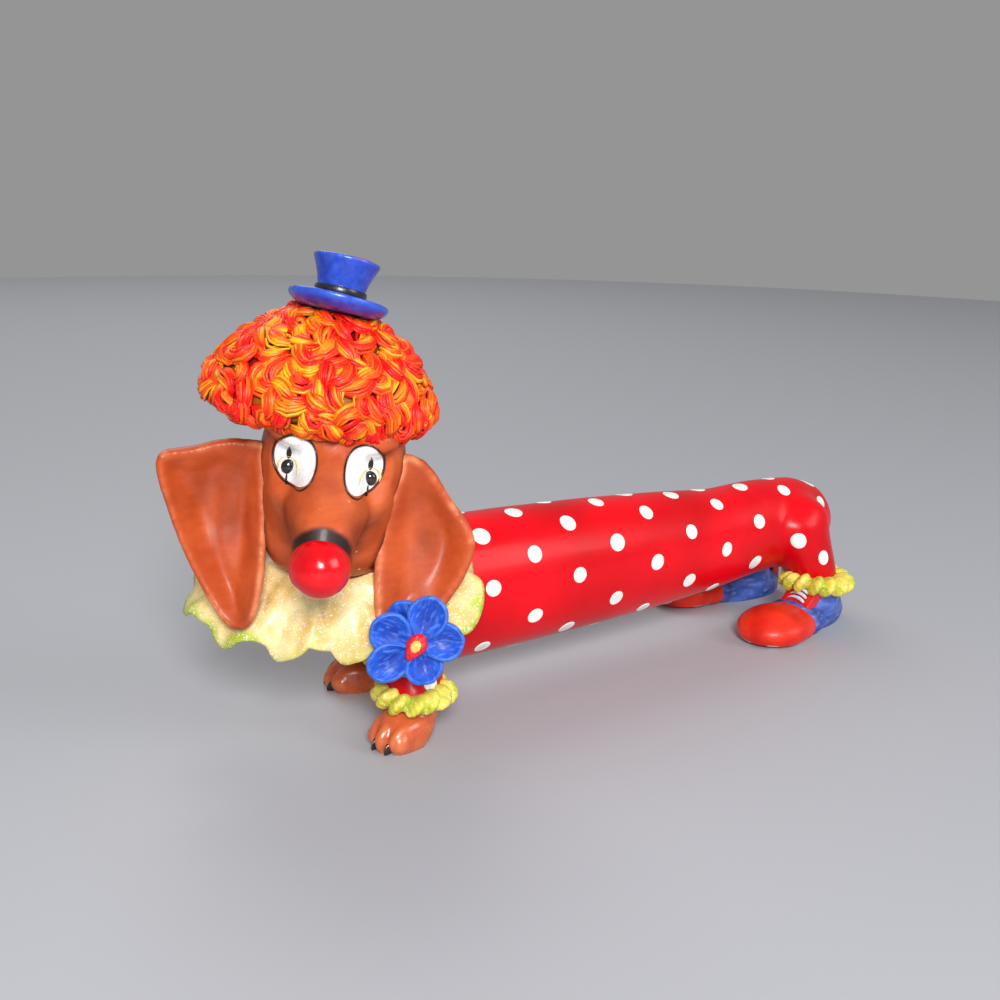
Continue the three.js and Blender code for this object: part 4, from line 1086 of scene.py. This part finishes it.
# flower: five cupped petals of different size, a leaf-like backing, a red grainy heart with a cream middle
flowerLook = {"turn": -28, "tilt": 82, "proud": 1.85,
              "petals": ((22, 10.4, 7.6), (84, 9.6, 7.2), (160, 8.2, 7.2), (238, 11.0, 7.4),
                         (296, 9.8, 8.0)),
              "sepals": ((335, 9.4), (50, 7.2), (125, 7.0), (205, 7.2), (268, 7.4)),
              "start": 1.6, "cup": 1.6, "thick": 1.0,
              "blue": (32, 84, 200), "light": (82, 132, 220), "dark": (14, 46, 152), "red": (236, 34, 38),
              "deepRed": (190, 10, 20), "cream": (250, 214, 120)}
flowerTurn = turnAbout("Z", flowerLook["turn"]) @ turnAbout("X", flowerLook["tilt"])
flowerPlace = middle("flower_backing") + flowerTurn @ (Vector((0, 0, flowerLook["proud"])) * mm)
flowerFrame = Matrix.Translation(flowerPlace) @ flowerTurn
petalFinish = clayPaint("petal_blue_brushed", flowerLook["blue"], flowerLook["dark"], blotch=1.2,
                        rough=(0.42, 0.58), streak=0.5, grain=0.5, coat=0.1, shine=0.35, painted=True)


def petalPiece(name, angle, length, width, lift, cup):
    bpy.ops.mesh.primitive_grid_add(x_subdivisions=22, y_subdivisions=22, size=2)
    petal = bpy.context.object
    nameIt(petal, name)
    square = readPoints(petal)
    across = square[:, 0] * np.sqrt(1 - square[:, 1] ** 2 / 2)
    along = square[:, 1] * np.sqrt(1 - square[:, 0] ** 2 / 2)
    reach = np.hypot(across, along)
    share = (along + 1) / 2
    narrow = 0.5 + 0.5 * np.sin(math.pi * np.clip(share * 0.78 + 0.04, 0, 1))
    x = across * width / 2 * narrow
    y = flowerLook["start"] + share * (length - flowerLook["start"])
    z = cup * (reach ** 2.6 - 0.55) + 0.5 * share + lift + 0.18 * np.sin(across * 5 + angle) * reach ** 2
    z -= 0.21 * np.exp(-(across / 0.16) ** 2) * (1 - share)
    # one edge laps over the next petal
    z += 0.35 * across
    shaped = np.stack([x, y, z], 1)
    place = flowerFrame @ turnAbout("Z", -angle)
    writePoints(petal, outFrame(shaped, place))
    useModifier(petal, "SOLIDIFY", thickness=flowerLook["thick"] * mm, offset=-1)
    useModifier(petal, "SUBSURF", levels=1, render_levels=1)
    smoothShade(petal)
    local = inFrame(readPoints(petal), place)
    half, centre = (length - flowerLook["start"]) / 2, (length + flowerLook["start"]) / 2
    edge = np.hypot(local[:, 0] / (width / 2) / 0.95, (local[:, 1] - centre) / half)
    # painted shade: each petal darkens toward its cupped middle
    tone = blend(flowerLook["blue"], flowerLook["dark"], soft(0.9 - edge, 0, 0.7) * 0.75)
    veins = cloud(np.stack([local[:, 0] * 3.2, local[:, 1] * 0.7, local[:, 2]], 1) * mm, 1.4, 51 + angle)
    tone = blend(tone, flowerLook["light"], soft(veins, 0.05, 0.5) * 0.55)
    # painted highlight along the raised rim
    tone = blend(tone, flowerLook["light"], soft(edge, 0.95, 1.03) * 0.4)
    paintPiece(petal, tone)
    return petal


for number, (angle, length, width) in enumerate(flowerLook["petals"], 1):
    lift = 0 if number % 2 else 0.25
    petal = petalPiece("petal_%d" % number, angle, length, width, lift, flowerLook["cup"])
    dress(petal, petalFinish, "petal_blue", "flower_petal_%d" % number)
sepals = [petalPiece("sepal", angle, length, 7.4, -1.7, 0.7) for angle, length in flowerLook["sepals"]]
dress(joinPieces("flower_sepals", sepals), petalFinish, "petal_blue", "flower_backing")
heart = clayBall(flowerFrame, (0, 0, 1.2), (2.15, 2.7, 1.25), segments=48, rings=32)
local = inFrame(readPoints(heart), flowerFrame)
local[:, 0] *= 1 - 0.4 * soft(-local[:, 1], 0.2, 2.7)
local[:, 1] -= 0.8 * soft(-local[:, 1], 0.6, 2.7)
turned = local @ np.array(turnAbout("Z", -32))[:3, :3].T
turned += 0.22 * np.stack([cloud(turned * mm, 0.7, 60 + k) for k in range(3)], 1)
writePoints(heart, outFrame(turned, flowerFrame))
smoothShade(nameIt(heart, "flower_red_heart"))
heartFinish = clayPaint("heart_red_grainy", flowerLook["red"], flowerLook["deepRed"], blotch=0.6,
                        rough=(0.3, 0.5), streak=0.5, grain=0.7, nicks=1.0, nickColour=(255, 170, 120))
dress(heart, heartFinish, "heart_red", "flower_heart")
bead = clayBall(flowerFrame, (-0.15, 0.1, 2.2), (1.1, 1.35, 0.75), (0, 0, -32), 32, 20)
bumps = 0.12 * cloud(readPoints(bead), 0.6, 64)
writePoints(bead, readPoints(bead) + readNormals(bead) * bumps[:, None] * mm)
smoothShade(nameIt(bead, "flower_cream_bead"))
beadFinish = clayPaint("bead_cream_paint", flowerLook["cream"], (244, 168, 60), blotch=0.8, rough=(0.3, 0.5),
                       streak=0.4, grain=0.5)
dress(bead, beadFinish, "bead_cream", "flower_bead")
print("flower set on the sleeve")


# cuffs: a ring of puffed ruffles pressed together, pale yellow with lime patches and lime-dark painted shade
# in the folds
cuffLook = {"pale": (240, 220, 96), "warm": (214, 204, 62), "lime": (150, 176, 26), "voxel": 0.4}
cuffFinish = clayPaint("cuff_yellow_glitter", cuffLook["pale"], cuffLook["warm"], blotch=2.5,
                       rough=(0.42, 0.58), streak=0.2, grain=0.3, coat=0.08, shine=0.35, painted=True)
addGlitter(cuffFinish, 0.09, 0.3)
chance = random.Random(23)
for label, side in (("left", -1), ("right", 1)):
    for end, lobes, ring in (("front", 12, 6.4), ("rear", 13, 7.4)):
        node = label + "_" + end + "_cuff"
        centre = middle(node) / mm
        if end == "rear":
            centre = centre + Vector((-1.2, side * 1.4, -1.5))
        ringPlace = Matrix.Translation(centre * mm)
        puffs = [clayBall(ringPlace, (0, 0, 0.1), (ring + 0.3, ring + 0.3, 1.7))]
        for lobe in range(lobes):
            turn = 360 * lobe / lobes + chance.uniform(-5, 5)
            spot = (ring + chance.uniform(-0.25, 0.35), 0, chance.uniform(-0.5, 0.4))
            radii = (2.8 + chance.uniform(-0.2, 0.5), 3.1, 1.5)
            tilt = (chance.uniform(46, 66), 10, 0)
            puffs.append(clayBall(ringPlace @ turnAbout("Z", turn), spot, radii, tilt, 28, 16))
        cuff = fuseClay(node + "_ruffle", puffs, cuffLook["voxel"], 1)
        points, normals = readPoints(cuff), readNormals(cuff)
        local = (points - np.array(centre) * mm) / mm
        turn = np.arctan2(local[:, 1], local[:, 0])
        outside = soft(np.hypot(local[:, 0], local[:, 1]), ring, ring + 2)
        crease = 0.09 * np.sin(turn * lobes * 3 + 2.0 * local[:, 2]) * outside
        writePoints(cuff, points + normals * crease[:, None] * mm)
        deep = hollows(cuff, 16)
        tone = blend(cuffLook["pale"], cuffLook["warm"], 0.5 + cloud(local * mm, 3, 71))
        # painted shade: the folds go lime-dark; the loose lime patches are the paint's own
        lime = soft(deep, 0.0, 0.4) * 0.9 + 0.5 * soft(cloud(local * mm, 4, 73), 0.05, 0.4)
        paintPiece(cuff, blend(tone, cuffLook["lime"], np.clip(lime, 0, 1)))
        dress(cuff, cuffFinish, "cuff_yellow", node)
print("cuffs puffed")

# paws: three long toes with deep grooves, dark claws at the foot of each groove
pawLook = {"splay": 16, "tan": (196, 86, 42), "light": (222, 118, 66), "dark": (124, 46, 20), "voxel": 0.36,
           "claw": (44, 24, 18)}
pawFinish = clayPaint("paw_tan_gloss", pawLook["tan"], pawLook["dark"], blotch=4, rough=(0.22, 0.36),
                      streak=0.25, grain=0.2, nicks=0.4, nickColour=(250, 206, 170), coat=0.4, painted=True)
clawFinish = clayPaint("claw_dark_paint", pawLook["claw"], (18, 10, 10), blotch=1, rough=(0.2, 0.35),
                       streak=0.2, grain=0.15)
for label, side in (("left", -1), ("right", 1)):
    foot = middle(label + "_front_cuff")
    pawFrame = Matrix.Translation((foot.x, foot.y, 0)) @ turnAbout("Z", -side * pawLook["splay"])
    lumps = [clayBall(pawFrame, (-2.4, 0, 3.6), (7.2, 5.6, 5.2)),
             clayBall(pawFrame, (0.4, 0, 6.2), (5.2, 5.0, 4.6))]
    for across, ahead, grow in ((-3.5, -4.5, 0.97), (0, -5.3, 1.03), (3.5, -4.5, 0.97)):
        toe, tip = [size * grow for size in (6.3, 2.35, 4.1)], [size * grow for size in (2.7, 2.1, 2.5)]
        lumps.append(clayBall(pawFrame, (ahead, across, 3.0), toe, (0, -9, across * 2.2)))
        lumps.append(clayBall(pawFrame, (ahead - 3.1, across, 2.4), tip))
    paw = fuseClay(label + "_paw_toes", lumps, pawLook["voxel"], 2)
    points = readPoints(paw)
    points[:, 2] = np.where(points[:, 2] < 0.4 * mm, np.maximum(points[:, 2] * 0.12, 0.0), points[:, 2])
    writePoints(paw, points)
    deep = hollows(paw, 22)
    # painted highlight on the toe tops and painted shade in the grooves between them
    tone = blend(pawLook["tan"], pawLook["light"], soft(-deep, 0.0, 0.5) * 0.8 + 0.3 * cloud(points, 4, 81))
    tone = blend(tone, pawLook["dark"], soft(deep, 0.02, 0.5) * 0.95)
    paintPiece(paw, tone)
    dress(paw, pawFinish, "paw_brown", label + "_paw")
    for number, across in ((1, -1.9), (2, 1.9)):
        claw = clayBall(pawFrame, (-9.6, across, 1.6), (1.9, 0.95, 1.3), (0, -34, 0), 24, 16)
        local = inFrame(readPoints(claw), pawFrame)
        tip = soft(-local[:, 0], 9.4, 11.4)
        local[:, 1] = across + (local[:, 1] - across) * (1 - 0.7 * tip)
        local[:, 2] = np.maximum(local[:, 2] - 0.35 * tip, 0.15)
        writePoints(claw, outFrame(local, pawFrame))
        smoothShade(nameIt(claw, "%s_claw_tip_%d" % (label, number)))
        dress(claw, clawFinish, "claw_black", "%s_claw_%d" % (label, number))
print("paws and claws done")

# shoes: a bulbous toe cap, low upper, laced tongue and a strip up the heel, over a thin sole line
shoeLook = {"splay": 8, "front": -27.75, "voxel": 0.42, "laceHalf": 2.9,
            "orange": (238, 54, 28), "orangeDeep": (206, 30, 18), "blue": (74, 104, 190),
            "blueDeep": (44, 62, 150), "brush": (120, 146, 214), "seam": (40, 44, 90), "red": (226, 20, 26),
            "lace": (226, 226, 236), "chip": (232, 228, 222)}
toeFinish = clayPaint("toe_orange_satin", shoeLook["orange"], shoeLook["orangeDeep"], blotch=5,
                      rough=(0.34, 0.46), streak=0.25, grain=0.2, nicks=0.3, coat=0.12, shine=0.3,
                      painted=True)
upperFinish = clayPaint("upper_blue_brushed", shoeLook["blue"], shoeLook["blueDeep"], blotch=2.2,
                        rough=(0.38, 0.55), streak=0.55, grain=0.4, coat=0.1, painted=True)
tongueFinish = clayPaint("tongue_red_paint", shoeLook["red"], (186, 8, 16), blotch=2, rough=(0.28, 0.42),
                         streak=0.3, grain=0.25)
laceFinish = clayPaint("lace_white_paint", shoeLook["lace"], (190, 194, 214), blotch=1, rough=(0.35, 0.5),
                       streak=0.3, grain=0.3)


def tongueSpot(spots):
    # the tongue swells with the clay shoe round it: wider across and a little further out
    return (spots - (-8.0, 0, 9.0)) * (1.12, 1.3, 1.12) + (-9.0, side * 1.2, 9.0)


for label, side in (("left", -1), ("right", 1)):
    foot = middle(label + "_rear_cuff")
    shoeFrame = Matrix.Translation((foot.x, foot.y, 0)) @ turnAbout("Z", -side * shoeLook["splay"])
    front = shoeLook["front"]
    toe = [clayBall(shoeFrame, (front + 8.2, side * 1.5, 3.6), (10.8, 9.6, 5.2), (0, -3, 0), 48, 32),
           clayBall(shoeFrame, (front + 13.0, side * 1.3, 3.4), (8.2, 8.8, 5.0), (0, 0, 0), 40, 28)]
    toe = fuseClay(label + "_toe_cap", toe, shoeLook["voxel"], 6)
    local = inFrame(readPoints(toe), shoeFrame)
    flattened = np.maximum(0.9 + (local[:, 2] - 0.9) * 0.45, 0.0)
    local[:, 2] = np.where(local[:, 2] < 0.9, flattened, local[:, 2])
    welt = 0.28 * np.exp(-((local[:, 2] - 1.2) / 0.35) ** 2)
    writePoints(toe, outFrame(local, shoeFrame))
    flat = readNormals(toe) * np.array((1, 1, 0))
    writePoints(toe, readPoints(toe) + flat * welt[:, None] * mm)
    # painted shade: the toe cap darkens toward its back, where the upper meets it
    tone = blend(shoeLook["orange"], shoeLook["orangeDeep"], 0.4 + 0.9 * cloud(local * mm, 7, 91)
                 + 0.5 * soft(local[:, 0], front + 15, front + 20))
    chip = soft(cloud(local * mm, 4, 93), 0.1, 0.25) * soft(1.5 - local[:, 2], 0, 0.5)
    paintPiece(toe, blend(tone, shoeLook["chip"], chip))
    dress(toe, toeFinish, "toe_orange", label + "_shoe_toe")
    upperParts = cadCopy(label + "_shoe_upper")
    swell(upperParts[0], 0.3)
    upperParts.append(clayBall(shoeFrame, (front + 18.5, side * 1.1, 3.6), (8.6, 8.2, 4.9), (0, 4, 0)))
    ankle = [(-3.5, side * 0.9, 4.4), (0.2, side * 0.9, 8.2), (0.2, side * 0.7, 12.0)]
    upperParts.append(clayRope(shoeFrame, ankle, [7.0, 6.9, 6.3], 32))
    upper = fuseClay(label + "_shoe_body", upperParts, shoeLook["voxel"], 8)
    local = inFrame(readPoints(upper), shoeFrame)
    local[:, 2] = np.where(local[:, 2] < 0.6, np.maximum(local[:, 2] * 0.5, 0.05), local[:, 2])
    stretched = np.stack([local[:, 0] * 0.5, local[:, 1] * 2, local[:, 2] * 2], 1)
    tone = blend(shoeLook["blue"], shoeLook["blueDeep"], 0.4 + 1.1 * cloud(stretched * mm, 4, 95))
    tone = blend(tone, shoeLook["brush"], soft(cloud(stretched * mm, 1.6, 97), 0.15, 0.6) * 0.6)
    tone = blend(tone, shoeLook["seam"], soft(1.6 - np.abs(local[:, 0] - front - 18.3), 0, 1.6) * 0.5)
    writePoints(upper, outFrame(local, shoeFrame))
    paintPiece(upper, tone)
    dress(upper, upperFinish, "shoe_blue", label + "_shoe_upper")
    # tongue and heel strip: the cad pieces swollen and rounded; the laces arch over the tongue
    for node, name, lift, smoothing in (("shoe_tongue", "tongue_flap", 0.55, 3),
                                        ("shoe_heel", "heel_strip", 0.35, 14)):
        strip = cadCopy(label + "_" + node)
        swell(strip[0], lift)
        strip = fuseClay(label + "_" + name, strip, 0.3, smoothing)
        if node == "shoe_tongue":
            spread = tongueSpot(inFrame(readPoints(strip), shoeFrame))
            writePoints(strip, outFrame(spread, shoeFrame))
        dress(strip, tongueFinish, "shoe_red", label + "_" + node)
    for number in (1, 2, 3):
        node = label + "_shoe_lace_%d" % number
        mid = tongueSpot(inFrame(np.array(middle(node)), shoeFrame))
        path, half = [], shoeLook["laceHalf"]
        for share, ahead, up in ((-1, -0.2, -0.5), (-0.6, -0.1, 0.35), (0, 0, 0.62),
                                 (0.6, 0.1, 0.35), (1, 0.2, -0.5)):
            path.append((mid[0] + ahead, mid[1] + share * half, mid[2] + up))
        rope = clayRope(shoeFrame, path, [0.4, 0.55, 0.58, 0.55, 0.4], 12)
        nameIt(rope, label + "_lace_%d" % number)
        useModifier(rope, "SUBSURF", levels=1, render_levels=1)
        smoothShade(rope)
        dress(rope, laceFinish, "lace_white", node)
print("shoes done")

# tail: a tapering clay rope that hangs from the rump, in the fur's paint
low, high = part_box("tail")
back, left, right, foot, root = (value / mm for value in (high.x, low.y, high.y, low.z, high.z))
tailPath = [(back - 4.2, left + 2.4, root + 1.5), (back - 2.4, left + 3.0, root - 3.5),
            (back - 1.9, (left + right) / 2 + 0.4, (foot + root) / 2),
            (back - 2.0, right - 2.2, foot + 3.2), (back - 1.9, right - 1.4, foot + 0.7)]
rope = clayRope(Matrix(), tailPath, [2.5, 2.5, 2.1, 1.5, 0.7], 24)
tailPiece = fuseClay("tail_taper", [rope], 0.36, 6)
points = readPoints(tailPiece)
paintPiece(tailPiece, blend(headLook["fur"], headLook["dark"], 0.2 + 0.4 * cloud(points, 7, 99)))
dress(tailPiece, headFinish, "fur_brown", "tail")
print("tail done")
